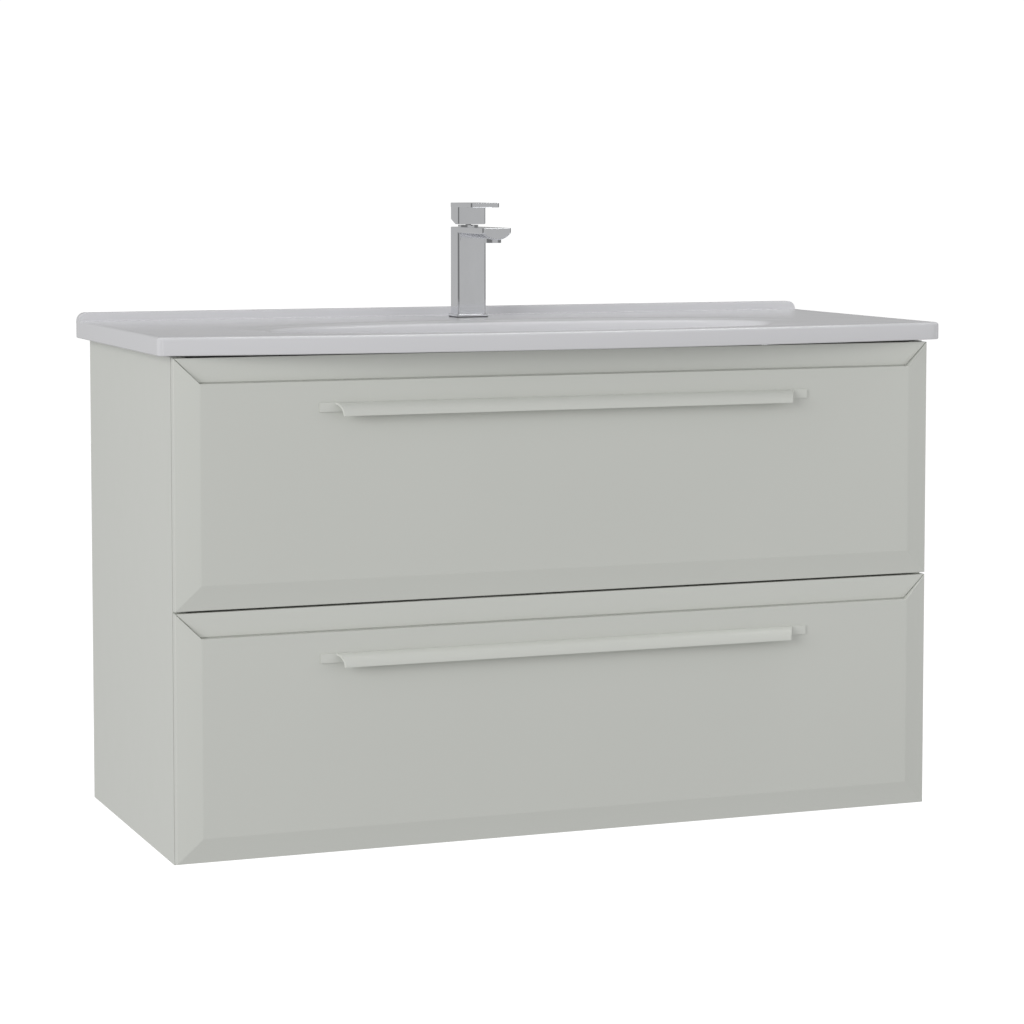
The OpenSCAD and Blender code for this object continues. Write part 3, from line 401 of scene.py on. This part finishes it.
def slab_outline(count):
    """Points round the slab, anticlockwise from above, with rounded corners."""
    front_r, rear_r = 6 * MM, 2 * MM
    points = []

    def arc(cx, cy, r, start, steps):
        for i in range(steps):
            a = math.radians(start + 90 * i / steps)
            points.append((cx + r * math.cos(a), cy + r * math.sin(a)))

    def line(x0, y0, x1, y1, steps):
        for i in range(steps):
            t = i / steps
            points.append((x0 + (x1 - x0) * t, y0 + (y1 - y0) * t))

    front_x = HALF_W - front_r
    for i in range(count):
        x = front_x * (2 * i / count - 1)
        points.append((x, CORNER_Y - BOW * (1 - (x / HALF_W) ** 2)))
    arc(front_x, CORNER_Y + front_r, front_r, -90, 10)
    line(HALF_W, CORNER_Y + front_r, HALF_W, -rear_r, count // 3)
    arc(HALF_W - rear_r, -rear_r, rear_r, 0, 6)
    line(HALF_W - rear_r, 0, rear_r - HALF_W, 0, count)
    arc(rear_r - HALF_W, -rear_r, rear_r, 90, 6)
    line(-HALF_W, -rear_r, -HALF_W, CORNER_Y + front_r, count // 3)
    arc(-front_x, CORNER_Y + front_r, front_r, 180, 10)
    return np.array(points)


def smoothstep(t):
    t = np.clip(t, 0.0, 1.0)
    return t * t * (3 - 2 * t)


def bowl_z(xy):
    """Height of the bowl's inner face, eased down to the drain's rim."""
    rho2 = ((xy[:, 0] - BOWL_C.x) / BOWL_RX) ** 2 + ((xy[:, 1] - BOWL_C.y) / BOWL_RY) ** 2
    z = DECK_Z - BOWL_DEEP * np.sqrt(np.clip(1 - rho2, 0, 1))
    away = np.hypot(xy[:, 0] - DRAIN_C.x, xy[:, 1] - DRAIN_C.y)
    return DRAIN_Z + (z - DRAIN_Z) * smoothstep((away - RECESS_R) / (22 * MM))


def shell_z(xy):
    rho2 = (((xy[:, 0] - BOWL_C.x) / (BOWL_RX + SHELL)) ** 2
            + ((xy[:, 1] - BOWL_C.y) / (BOWL_RY + SHELL)) ** 2)
    return DECK_Z - (BOWL_DEEP + SHELL) * np.sqrt(np.clip(1 - rho2, 0, 1))


def dish_z(xy):
    rho2 = ((xy[:, 0] - DISH_C.x) / DISH_RX) ** 2 + ((xy[:, 1] - DISH_C.y) / DISH_RY) ** 2
    return DECK_Z - DISH_DEEP * np.clip(1 - rho2, 0, 1) ** 0.6


def row(xy, z):
    z = np.full(len(xy), z) if np.isscalar(z) else z
    return np.column_stack([xy, z])


def smooth_rows(rows, first, last, times):
    """Rounds the profile between two rows, spoke by spoke."""
    for _ in range(times):
        rows[first:last] = (0.5 * rows[first:last] + 0.25 * rows[first - 1:last - 1]
                            + 0.25 * rows[first + 1:last + 1])


def grid_mesh(name, rows, wrap_rows=True):
    """Closed quad mesh from an array (rows, points, 3); each row is a loop."""
    r, n = rows.shape[:2]
    faces = []
    for i in range(r if wrap_rows else r - 1):
        j = (i + 1) % r
        for k in range(n):
            m = (k + 1) % n
            faces.append((i * n + k, i * n + m, j * n + m, j * n + k))
    mesh = bpy.data.meshes.new(name)
    mesh.from_pydata(rows.reshape(-1, 3).tolist(), [], faces)
    return mesh


def tidy(mesh):
    """Consistent outward normals and no doubled points."""
    bm = bmesh.new()
    bm.from_mesh(mesh)
    bmesh.ops.remove_doubles(bm, verts=bm.verts, dist=0.00001)
    bmesh.ops.recalc_face_normals(bm, faces=bm.faces)
    bm.to_mesh(mesh)
    bm.free()
    mesh.shade_smooth()


def slab_and_bowl():
    outline = slab_outline(220)
    ahead, behind = np.roll(outline, -1, 0), np.roll(outline, 1, 0)
    along = ahead - behind
    along /= np.linalg.norm(along, axis=1)[:, None]
    outward = np.column_stack([along[:, 1], -along[:, 0]])
    angle = np.arctan2((outline[:, 1] - BOWL_C.y) / BOWL_RY, (outline[:, 0] - BOWL_C.x) / BOWL_RX)
    unit = np.column_stack([np.cos(angle), np.sin(angle)])
    bowl_c, drain_c = np.array(BOWL_C), np.array(DRAIN_C)

    def on_bowl(rho, grow=0.0):
        rho = np.asarray(rho)[..., None] if np.ndim(rho) else rho
        return bowl_c + unit * rho * np.array([BOWL_RX + grow, BOWL_RY + grow])

    def on_drain(radius):
        """Where each spoke leaves a circle round the drain, and its rho there."""
        d = unit * np.array([BOWL_RX, BOWL_RY])
        off = bowl_c - drain_c
        a, b, c = (d ** 2).sum(1), 2 * (d * off).sum(1), (off ** 2).sum() - radius ** 2
        rho = (-b + np.sqrt(b * b - 4 * a * c)) / (2 * a)
        return bowl_c + d * rho[:, None], rho

    rim, rho_rim = on_drain(RECESS_R)
    hole = drain_c + (rim - drain_c) * (HOLE_R / RECESS_R)
    boss = drain_c + (rim - drain_c) * (BOSS_R / RECESS_R)
    rows = [row(hole, -31 * MM), row(hole, -20 * MM), row(hole, -19 * MM), row(rim, -19 * MM),
            row(rim, -17 * MM)]

    # Up the bowl, evenly along its wall
    start = np.arcsin(np.clip(rho_rim, 0, 1))
    steps = 46
    for i in range(steps + 1):
        xy = on_bowl(np.sin(start + (math.pi / 2 - start) * (i / steps)))
        rows.append(row(xy, np.minimum(bowl_z(xy), dish_z(xy))))
    rim_row = len(rows) - 1

    # Out over the dish to the flat deck, then to the slab's edge
    foot_r = 2.0 * MM
    edge_r = (1.2 + 2.8 * smoothstep((-outline[:, 1] - 16 * MM) / (24 * MM)))[:, None] * MM
    rim_xy = on_bowl(1.0)
    dish_xy = np.array(DISH_C) + unit * np.array([DISH_RX, DISH_RY])
    out_xy = outline - outward * edge_r
    for i in range(1, 25):
        xy = rim_xy + (dish_xy - rim_xy) * (i / 24)
        rows.append(row(xy, dish_z(xy)))
    dish_row = len(rows) - 1
    for i in range(1, 15):
        rows.append(row(dish_xy + (out_xy - dish_xy) * (i / 14) ** 1.4, DECK_Z))
    smooth_rows_from = np.array(rows)
    smooth_rows(smooth_rows_from, rim_row - 10, rim_row + 12, 40)
    smooth_rows(smooth_rows_from, dish_row - 8, dish_row + 5, 12)
    rows = list(smooth_rows_from)
    for i in range(1, 8):
        a = math.pi / 2 * i / 7
        rows.append(row(outline - outward * edge_r * (1 - math.sin(a)),
                        DECK_Z - edge_r[:, 0] * (1 - math.cos(a))))
    for i in range(0, 6):
        a = math.pi / 2 * i / 5
        rows.append(row(outline - outward * foot_r * (1 - math.cos(a)),
                        SLAB_Z + foot_r * (1 - math.sin(a))))

    # Back under the slab, round the bowl's outer shell and the drain's boss
    top_rho = math.sqrt(1 - ((DECK_Z - SLAB_Z) / (BOWL_DEEP + SHELL)) ** 2)
    under, shell_rim = outline - outward * foot_r, on_bowl(top_rho, SHELL)
    for i in range(1, 9):
        xy = under + (shell_rim - under) * (i / 8)
        rows.append(row(xy, SLAB_Z))
    boss_unit = (boss - bowl_c) / np.array([BOWL_RX + SHELL, BOWL_RY + SHELL])
    rho_boss = np.linalg.norm(boss_unit, axis=1)
    boss_dir = boss_unit / rho_boss[:, None]
    for i in range(1, 27):
        t = i / 26
        psi = math.asin(top_rho) + (np.arcsin(rho_boss) - math.asin(top_rho)) * t
        spoke = unit * (1 - t) + boss_dir * t
        spoke /= np.linalg.norm(spoke, axis=1)[:, None]
        xy = bowl_c + spoke * np.sin(psi)[:, None] * np.array([BOWL_RX + SHELL, BOWL_RY + SHELL])
        rows.append(row(xy, shell_z(xy)))
    rows += [row(boss, -31 * MM), row(drain_c + (boss - drain_c) * 0.975, -32 * MM),
             row(drain_c + (hole - drain_c) * 1.04, -32 * MM)]
    mesh = grid_mesh("basin_bowl", np.array(rows))
    tidy(mesh)
    return mesh


def wall_lip():
    """The lip along the wall, with a cove at its foot and rounded ends."""
    top, front, foot = BASIN_HIGH.z, -14 * MM, DECK_Z - 3 * MM
    back = 0.05 * MM
    cove, nose, end_r = 0.3 * MM, 1.2 * MM, 10.5 * MM
    half = HALF_W - 0.3 * MM
    stations = [-half + end_r * (1 - math.cos(math.pi / 2 * i / 8)) for i in range(9)]
    stations += [-half + end_r + (2 * (half - end_r)) * i / 60 for i in range(1, 60)]
    stations += [-s for s in stations[8::-1]]
    rows = []
    for x in stations:
        past = max(0.0, abs(x) - (half - end_r))
        crown = top - end_r + math.sqrt(max(0.0, end_r ** 2 - past ** 2))
        r = max(0.1 * MM, min(nose, (crown - DECK_Z - cove) * 0.9))
        back_r = min(1.5 * MM, r)
        line = [(back, foot), (back, crown - back_r)]
        line += [(back - back_r * (1 - math.cos(a)), crown - back_r * (1 - math.sin(a)))
                 for a in np.linspace(0, math.pi / 2, 5)[1:]]
        line += [(front + r * (1 - math.sin(a)), crown - r * (1 - math.cos(a)))
                 for a in np.linspace(0, math.pi / 2, 7)]
        line += [(front - cove * (1 - math.cos(a)), DECK_Z + cove * (1 - math.sin(a)))
                 for a in np.linspace(0, math.pi / 2, 7)]
        line += [(front - cove - 1 * MM, DECK_Z - 0.6 * MM), (front - cove, foot)]
        rows.append([(x, y, z) for y, z in line])
    rows = np.array(rows)
    mesh = grid_mesh("basin_lip", rows, wrap_rows=False)
    bm = bmesh.new()
    bm.from_mesh(mesh)
    bm.verts.ensure_lookup_table()
    n = rows.shape[1]
    for start in (0, (len(stations) - 1) * n):
        bm.faces.new([bm.verts[start + k] for k in range(n)])
    bm.to_mesh(mesh)
    bm.free()
    tidy(mesh)
    return mesh


def cylinder(radius, start, end, sides=64):
    """Closed cylinder between two points."""
    bm = bmesh.new()
    axis = Vector(end) - Vector(start)
    turn = axis.to_track_quat("Z", "Y").to_matrix().to_4x4()
    place = Matrix.Translation((Vector(start) + Vector(end)) / 2) @ turn
    bmesh.ops.create_cone(bm, cap_ends=True, segments=sides, radius1=radius, radius2=radius,
                          depth=axis.length, matrix=place)
    mesh = bpy.data.meshes.new("cutter")
    bm.to_mesh(mesh)
    bm.free()
    return mesh


def cut_away(piece, cutters, added=()):
    """Joins closed meshes to a piece, takes others out of it, and keeps the result as its mesh."""
    helpers = []
    for mesh in (*added, *cutters):
        helper = bpy.data.objects.new("cutter", mesh)
        scene.collection.objects.link(helper)
        helpers.append(helper)
        cut = piece.modifiers.new("cut", "BOOLEAN")
        cut.operation = "UNION" if mesh in added else "DIFFERENCE"
        cut.solver, cut.object = "EXACT", helper
    bpy.context.view_layer.update()
    whole = piece.evaluated_get(bpy.context.evaluated_depsgraph_get())
    piece.data = bpy.data.meshes.new_from_object(whole)
    piece.modifiers.clear()
    for helper in helpers:
        bpy.data.objects.remove(helper)


TAP_Y = (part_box("tap_stud")[0].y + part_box("tap_stud")[1].y) / 2 + 10 * MM
overflow_drop = 38 * MM
overflow_y = BOWL_C.y + BOWL_RY * math.sqrt(1 - (overflow_drop / BOWL_DEEP) ** 2)
overflow_at = Vector((0, overflow_y, DECK_Z - overflow_drop))
overflow_dir = Vector((0, (overflow_y - BOWL_C.y) / BOWL_RY ** 2, -overflow_drop / BOWL_DEEP ** 2))
overflow_dir.normalize()


def block(name, centre, size, turn):
    """Closed box with rounded edges, placed by its centre and a turn about X."""
    bm = bmesh.new()
    place = Matrix.Translation(centre) @ Matrix.Rotation(turn, 4, "X")
    bmesh.ops.create_cube(bm, size=1.0, matrix=place @ Matrix.Diagonal((*size, 1.0)))
    bmesh.ops.bevel(bm, geom=bm.edges[:], offset=3 * MM, segments=4, affect="EDGES", profile=0.5)
    mesh = bpy.data.meshes.new(name)
    bm.to_mesh(mesh)
    bm.free()
    mesh.shade_smooth()
    return mesh


# Duct that slopes at 45 degrees behind the bowl, and the link from its foot to the drain
duct_start = SLAB_Z + 2 * MM
duct_len = (duct_start - DRAIN_Z + 6 * MM) * math.sqrt(2)
duct_off = math.hypot(BOWL_RY + SHELL, BOWL_DEEP + SHELL) / math.sqrt(2) + 4.5 * MM
duct_from = Vector((0, BOWL_C.y + duct_off * math.sqrt(2) + duct_start - DECK_Z, duct_start))
down = Vector((0, -1, -1)).normalized()
duct = add_piece("basin_duct", block("basin_duct", duct_from + down * (duct_len / 2 + 1 * MM),
                                     (56 * MM, duct_len - 2 * MM, 18 * MM), math.radians(-135)),
                 "ceramic")
link = add_piece("basin_link", block("basin_link", Vector((0, DRAIN_C.y + 40 * MM, DRAIN_Z - 8 * MM)),
                                     (36 * MM, 30 * MM, 16 * MM), 0.0), "ceramic")

bowl = add_piece("basin_bowl", slab_and_bowl(), "ceramic")
cut_away(bowl, [
    cylinder(17.5 * MM, (0, TAP_Y, SLAB_Z - 5 * MM), (0, TAP_Y, DECK_Z + 5 * MM)),
    cylinder(12 * MM, overflow_at - overflow_dir * 9 * MM, overflow_at + overflow_dir * 14 * MM),
])
lip = add_piece("basin_lip", wall_lip(), "ceramic")
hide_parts("basin")
for piece in (bowl, lip, duct, link):
    smooth = piece.modifiers.new("clean", "NODES")
    smooth.node_group = CLEAN


# ---------------------------------------------------------------- tap castings, plate and seal

TAP_LOW, TAP_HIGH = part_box("tap_body")
LEVER_LOW, LEVER_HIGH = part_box("tap_handle")
NUT_LOW, NUT_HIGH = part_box("cartridge_nut")
AERATOR_LOW, AERATOR_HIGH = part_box("tap_aerator")
TAP_HALF = TAP_HIGH.x
TAP_FRONT, TAP_REAR = TAP_Y - 15.5 * MM, TAP_Y + 15.5 * MM
SPOUT_H = 16 * MM                         # height of the spout in its middle
REACH = 5 * MM                            # how far a cutter runs past the piece it cuts
FIT = 0.05 * MM                           # running gap round each inserted piece
STEP_DEG = 9                              # arc of one segment of a rounded edge
TAP_TOP = TAP_HIGH.z
BELLY_RISE = 9.5 * MM
BELLY_R = (TAP_HALF ** 2 + BELLY_RISE ** 2) / (2 * BELLY_RISE)


def rounded_box(low, high, upright, level, above=True, below=False):
    """Closed box between two corner points; upright edges and top or bottom edges rounded."""
    bm = bmesh.new()
    centre, size = (low + high) / 2, high - low
    place = Matrix.Translation(centre) @ Matrix.Diagonal((*size, 1.0))
    bmesh.ops.create_cube(bm, size=1.0, matrix=place)
    edges = [e for e in bm.edges if abs(e.verts[0].co.z - e.verts[1].co.z) > 0.5 * MM]
    bmesh.ops.bevel(bm, geom=edges, offset=upright, segments=10, affect="EDGES", profile=0.5)
    edges = [e for e in bm.edges if above and all(v.co.z > high.z - 0.01 * MM for v in e.verts)]
    edges += [e for e in bm.edges if below and all(v.co.z < low.z + 0.01 * MM for v in e.verts)]
    if level:
        bmesh.ops.bevel(bm, geom=edges, offset=level, segments=6, affect="EDGES", profile=0.5)
    mesh = bpy.data.meshes.new("box")
    bm.to_mesh(mesh)
    bm.free()
    return mesh


def spout_ring(y, inset):
    """Spout's outline at one depth: flat top with small rounded corners, round belly."""
    half, corner = TAP_HALF - inset, 0.8 * MM
    top, radius = TAP_TOP - 0.3 * inset, BELLY_R - inset
    low = TAP_HIGH.z - SPOUT_H + BELLY_R
    spots = []
    for side in (1, -1):
        start = math.asin(half / radius)
        belly = [(side * radius * math.sin(start * k / 24), low - radius * math.cos(start * k / 24))
                 for k in range(25)]
        bend = [(side * (half - corner + corner * math.cos(math.radians(STEP_DEG * k))),
                 top - corner + corner * math.sin(math.radians(STEP_DEG * k))) for k in range(11)]
        spots.append(belly + bend)
    right, left = spots
    ring = right + list(reversed(left[1:]))
    return [Vector((x, y, z)) for x, z in ring]


def spout_mesh():
    """Closed spout: its rear end stays inside the column, its front edge is rounded."""
    soft, front = 2.6 * MM, TAP_LOW.y
    rows = [spout_ring(TAP_FRONT + 6 * MM, 0.0)]
    for k in range(11):
        turn = math.radians(STEP_DEG * k)
        rows.append(spout_ring(front + soft * (1 - math.sin(turn)), soft * (1 - math.cos(turn))))
    bm = bmesh.new()
    rings = [[bm.verts.new(spot) for spot in ring] for ring in rows]
    count = len(rings[0])
    for one, two in zip(rings, rings[1:]):
        for i in range(count):
            j = (i + 1) % count
            bm.faces.new((one[i], one[j], two[j], two[i]))
    bm.faces.new(rings[0])
    bm.faces.new(rings[-1])
    bmesh.ops.recalc_face_normals(bm, faces=bm.faces[:])
    mesh = bpy.data.meshes.new("spout")
    bm.to_mesh(mesh)
    bm.free()
    return mesh


def lever_block():
    """Lever's block with its rear foot cut at a slant."""
    low = Vector((LEVER_LOW.x + 0.5 * MM, TAP_FRONT + 0.5 * MM, LEVER_LOW.z))
    high = Vector((LEVER_HIGH.x - 0.5 * MM, TAP_REAR, LEVER_HIGH.z - 3 * MM))
    bm = bmesh.new()
    spots = [(low.y, low.z), (TAP_Y, low.z), (high.y, low.z + 6 * MM), (high.y, high.z),
             (low.y, high.z)]
    face = bm.faces.new([bm.verts.new((low.x, y, z)) for y, z in spots])
    pulled = bmesh.ops.extrude_face_region(bm, geom=[face])["geom"]
    bmesh.ops.translate(bm, verts=[v for v in pulled if isinstance(v, bmesh.types.BMVert)],
                        vec=(high.x - low.x, 0, 0))
    bmesh.ops.recalc_face_normals(bm, faces=bm.faces[:])
    soft = [e for e in bm.edges if abs(e.verts[0].co.x - e.verts[1].co.x) < 0.01 * MM
            and min(e.verts[0].co.z, e.verts[1].co.z) < high.z - 1 * MM]
    bmesh.ops.bevel(bm, geom=soft, offset=2.5 * MM, segments=10, affect="EDGES", profile=0.5)
    mesh = bpy.data.meshes.new("lever_block")
    bm.to_mesh(mesh)
    bm.free()
    return mesh


def finish_casting(piece):
    smooth = piece.modifiers.new("clean", "NODES")
    smooth.node_group = CLEAN
    normals = piece.modifiers.new("normals", "WEIGHTED_NORMAL")
    normals.keep_sharp = True


NUT_R = (NUT_HIGH.x - NUT_LOW.x) / 2
AERATOR_C = (AERATOR_LOW + AERATOR_HIGH) / 2
AERATOR_R = (AERATOR_HIGH.x - AERATOR_LOW.x) / 2
POCKET_LOW = NUT_LOW.z - 38 * MM
STEM_LOW, STEM_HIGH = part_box("lever_stem")
GRUB_LOW, GRUB_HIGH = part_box("handle_screw")

INLET_X, INLET_Y, INLET_L = 9 * MM, TAP_Y + 4.5 * MM, 16 * MM
STUD_Y = TAP_Y - 10 * MM
WATER_Z = TAP_TOP - 9 * MM                # middle of the way for water along the spout


def upright(radius, x, y, z0, z1, sides=64):
    return cylinder(radius, (x, y, z0), (x, y, z1), sides)


column = add_piece("tap_casting", rounded_box(Vector((-TAP_HALF, TAP_FRONT, TAP_LOW.z)),
                                              Vector((TAP_HALF, TAP_REAR, TAP_TOP)),
                                              3.5 * MM, 0.8 * MM), "chrome")
cutters = [
    upright(NUT_R + FIT, 0, TAP_Y, NUT_LOW.z, TAP_TOP + REACH, 96),
    upright(12.55 * MM, 0, TAP_Y, POCKET_LOW, TAP_TOP, 96),
    cylinder(4 * MM, (0, AERATOR_C.y, WATER_Z), (0, TAP_Y, WATER_Z)),
    upright(AERATOR_R + FIT, 0, AERATOR_C.y, TAP_TOP - 30 * MM, AERATOR_HIGH.z),
    upright(4.05 * MM, 0, STUD_Y, TAP_LOW.z - REACH, TAP_LOW.z + 16 * MM),
]
cutters += [upright(4.6 * MM, x, INLET_Y, TAP_LOW.z - REACH, TAP_LOW.z + INLET_L)
            for x in (-INLET_X, INLET_X)]
cutters += [upright(4.2 * MM, x, INLET_Y, TAP_LOW.z + 10 * MM, POCKET_LOW + 1 * MM)
            for x in (-INLET_X, INLET_X)]
cut_away(column, cutters, [spout_mesh()])
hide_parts("tap_body")

lever = add_piece("lever_casting", rounded_box(
    Vector((LEVER_LOW.x, LEVER_LOW.y, LEVER_HIGH.z - 6 * MM)), LEVER_HIGH,
    3.0 * MM, 0.7 * MM, True, True), "chrome", "tap_lever")
stem_gap = Vector((FIT, FIT, FIT))
grub_z = (GRUB_LOW.z + GRUB_HIGH.z) / 2
cut_away(lever, [
    rounded_box(Vector((STEM_LOW.x, STEM_LOW.y, LEVER_LOW.z - 9 * MM)) - stem_gap,
                STEM_HIGH + stem_gap, 0.1 * MM, 0.0),
    cylinder(2.05 * MM, (0, TAP_Y, grub_z), (0, TAP_REAR + REACH, grub_z)),
], [lever_block()])
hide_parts("tap_handle")

base_low, base_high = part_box("tap_base")
SEAL_TOP = base_low.z + 1.2 * MM
base_plate = add_piece("tap_base_plate", rounded_box(
    Vector((base_low.x, base_low.y, SEAL_TOP)), base_high, 2.5 * MM, 0.8 * MM), "chrome")
base_seal = add_piece("tap_base_seal", rounded_box(
    base_low + Vector((0.7 * MM, 0.7 * MM, 0)),
    Vector((base_high.x - 0.7 * MM, base_high.y - 0.7 * MM, SEAL_TOP)),
    2 * MM, 0.0), "black_rubber")
for piece in (base_plate, base_seal):
    cut_away(piece, [upright(15.5 * MM, 0, TAP_Y, base_low.z - REACH, base_high.z + REACH)])
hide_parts("tap_base")
for piece in (column, lever, base_plate, base_seal):
    finish_casting(piece)


# ---------------------------------------------------------------- camera, light and floor

def aim(yaw, pitch):
    """Rotation of a camera that looks along +Y turned by yaw towards +X, and down by pitch."""
    return (math.radians(90 - pitch), 0.0, -math.radians(yaw))


camera_data = bpy.data.cameras.new("camera")
camera = bpy.data.objects.new("camera", camera_data)
scene.collection.objects.link(camera)
scene.camera = camera
camera.location = (-1.3586, -3.773, 0.2708)
camera.rotation_euler = aim(21.008, 4.085)
camera_data.sensor_width = 36.0
camera_data.lens = 104.22
camera_data.shift_y = -0.12

LOW_LIGHT, HIGH_LIGHT = 0.53, 0.44          # strength of the room's light from below and above
world = bpy.data.worlds.new("studio")
scene.world = world
world.use_nodes = True
wt = world.node_tree
background = wt.nodes["Background"]
path = wt.nodes.new("ShaderNodeLightPath")
mix = wt.nodes.new("ShaderNodeMixShader")
white = wt.nodes.new("ShaderNodeBackground")
white.inputs["Color"].default_value = (1.0, 1.0, 1.0, 1.0)
white.inputs["Strength"].default_value = 1.05
background.inputs["Color"].default_value = (1.0, 1.0, 1.0, 1.0)

# Soft room light, a little weaker from above, with dark stands that only reflections pick up.
# Each has its heading, where it starts and is full (cosines off its middle), and how much it takes
STANDS = ((70, 0.64, 0.84, 0.62), (-90, 0.72, 0.90, 0.6), (-159, 0.86, 0.97, 0.22))
sky = wt.nodes.new("ShaderNodeTexCoord")
parts = wt.nodes.new("ShaderNodeSeparateXYZ")
wt.links.new(sky.outputs["Generated"], parts.inputs[0])
level = wt.nodes.new("ShaderNodeMapRange")
level.interpolation_type = "SMOOTHSTEP"
for field, number in (("From Min", -0.5), ("From Max", 0.6),
                      ("To Min", LOW_LIGHT), ("To Max", HIGH_LIGHT)):
    level.inputs[field].default_value = number
wt.links.new(parts.outputs["Z"], level.inputs["Value"])
strength = level.outputs["Result"]
for azimuth, near, full, deep in STANDS:
    facing = wt.nodes.new("ShaderNodeVectorMath")
    facing.operation = "DOT_PRODUCT"
    turn = math.radians(azimuth)
    facing.inputs[1].default_value = (-math.sin(turn), -math.cos(turn), 0.0)
    wt.links.new(sky.outputs["Generated"], facing.inputs[0])
    dim = wt.nodes.new("ShaderNodeMapRange")
    dim.interpolation_type = "SMOOTHSTEP"
    for field, number in (("From Min", near), ("From Max", full),
                          ("To Min", 0.0), ("To Max", deep)):
        dim.inputs[field].default_value = number
    wt.links.new(facing.outputs["Value"], dim.inputs["Value"])
    seen = wt.nodes.new("ShaderNodeMath")
    seen.operation = "MULTIPLY"
    wt.links.new(dim.outputs["Result"], seen.inputs[0])
    wt.links.new(path.outputs["Is Glossy Ray"], seen.inputs[1])
    left = wt.nodes.new("ShaderNodeMath")
    left.operation = "SUBTRACT"
    left.inputs[0].default_value = 1.0
    wt.links.new(seen.outputs[0], left.inputs[1])
    times = wt.nodes.new("ShaderNodeMath")
    times.operation = "MULTIPLY"
    wt.links.new(strength, times.inputs[0])
    wt.links.new(left.outputs[0], times.inputs[1])
    strength = times.outputs[0]
wt.links.new(strength, background.inputs["Strength"])
wt.links.new(path.outputs["Is Camera Ray"], mix.inputs[0])
wt.links.new(background.outputs[0], mix.inputs[1])
wt.links.new(white.outputs[0], mix.inputs[2])
wt.links.new(mix.outputs[0], wt.nodes["World Output"].inputs["Surface"])


def area_light(name, location, target, size, power):
    data = bpy.data.lights.new(name, "AREA")
    data.shape = "RECTANGLE"
    data.size, data.size_y = size
    data.energy = power
    light = bpy.data.objects.new(name, data)
    scene.collection.objects.link(light)
    light.location = location
    light.rotation_euler = (Vector(target) - Vector(location)).to_track_quat("-Z", "Y").to_euler()
    return light


key = area_light("key_light", (-5.6, -3.7, 1.7), (0.0, -0.3, -0.2), (4.0, 3.2), 186.0)
area_light("top_light", (1.2, -0.6, 3.2), (1.2, -0.6, 0.0), (2.6, 0.7), 26.0)
fill = area_light("fill_light", (3.4, -2.8, 0.5), (0.0, -0.3, -0.2), (2.4, 2.0), 22.0)
key.visible_glossy = False
fill.visible_glossy = False

floor_mesh = bpy.data.meshes.new("floor")
floor_half = 40.0
floor_z = -1.35
floor_mesh.from_pydata([(-floor_half, -floor_half, floor_z), (floor_half, -floor_half, floor_z),
                        (floor_half, floor_half, floor_z), (-floor_half, floor_half, floor_z)],
                       [], [(0, 1, 2, 3)])
floor = bpy.data.objects.new("floor", floor_mesh)
scene.collection.objects.link(floor)
g = Graph("floor")
g.finish(g.blend(g.noise(0.8, 3.0), (0.86, 0.86, 0.86), (0.88, 0.88, 0.88)), 0.9)
g.shader.inputs["Emission Color"].default_value = (1.0, 1.0, 1.0, 1.0)
g.shader.inputs["Emission Strength"].default_value = 0.66
floor_mesh.materials.append(g.material)
floor.visible_diffuse = False
floor.visible_glossy = False
scene.view_settings.view_transform = "Standard"
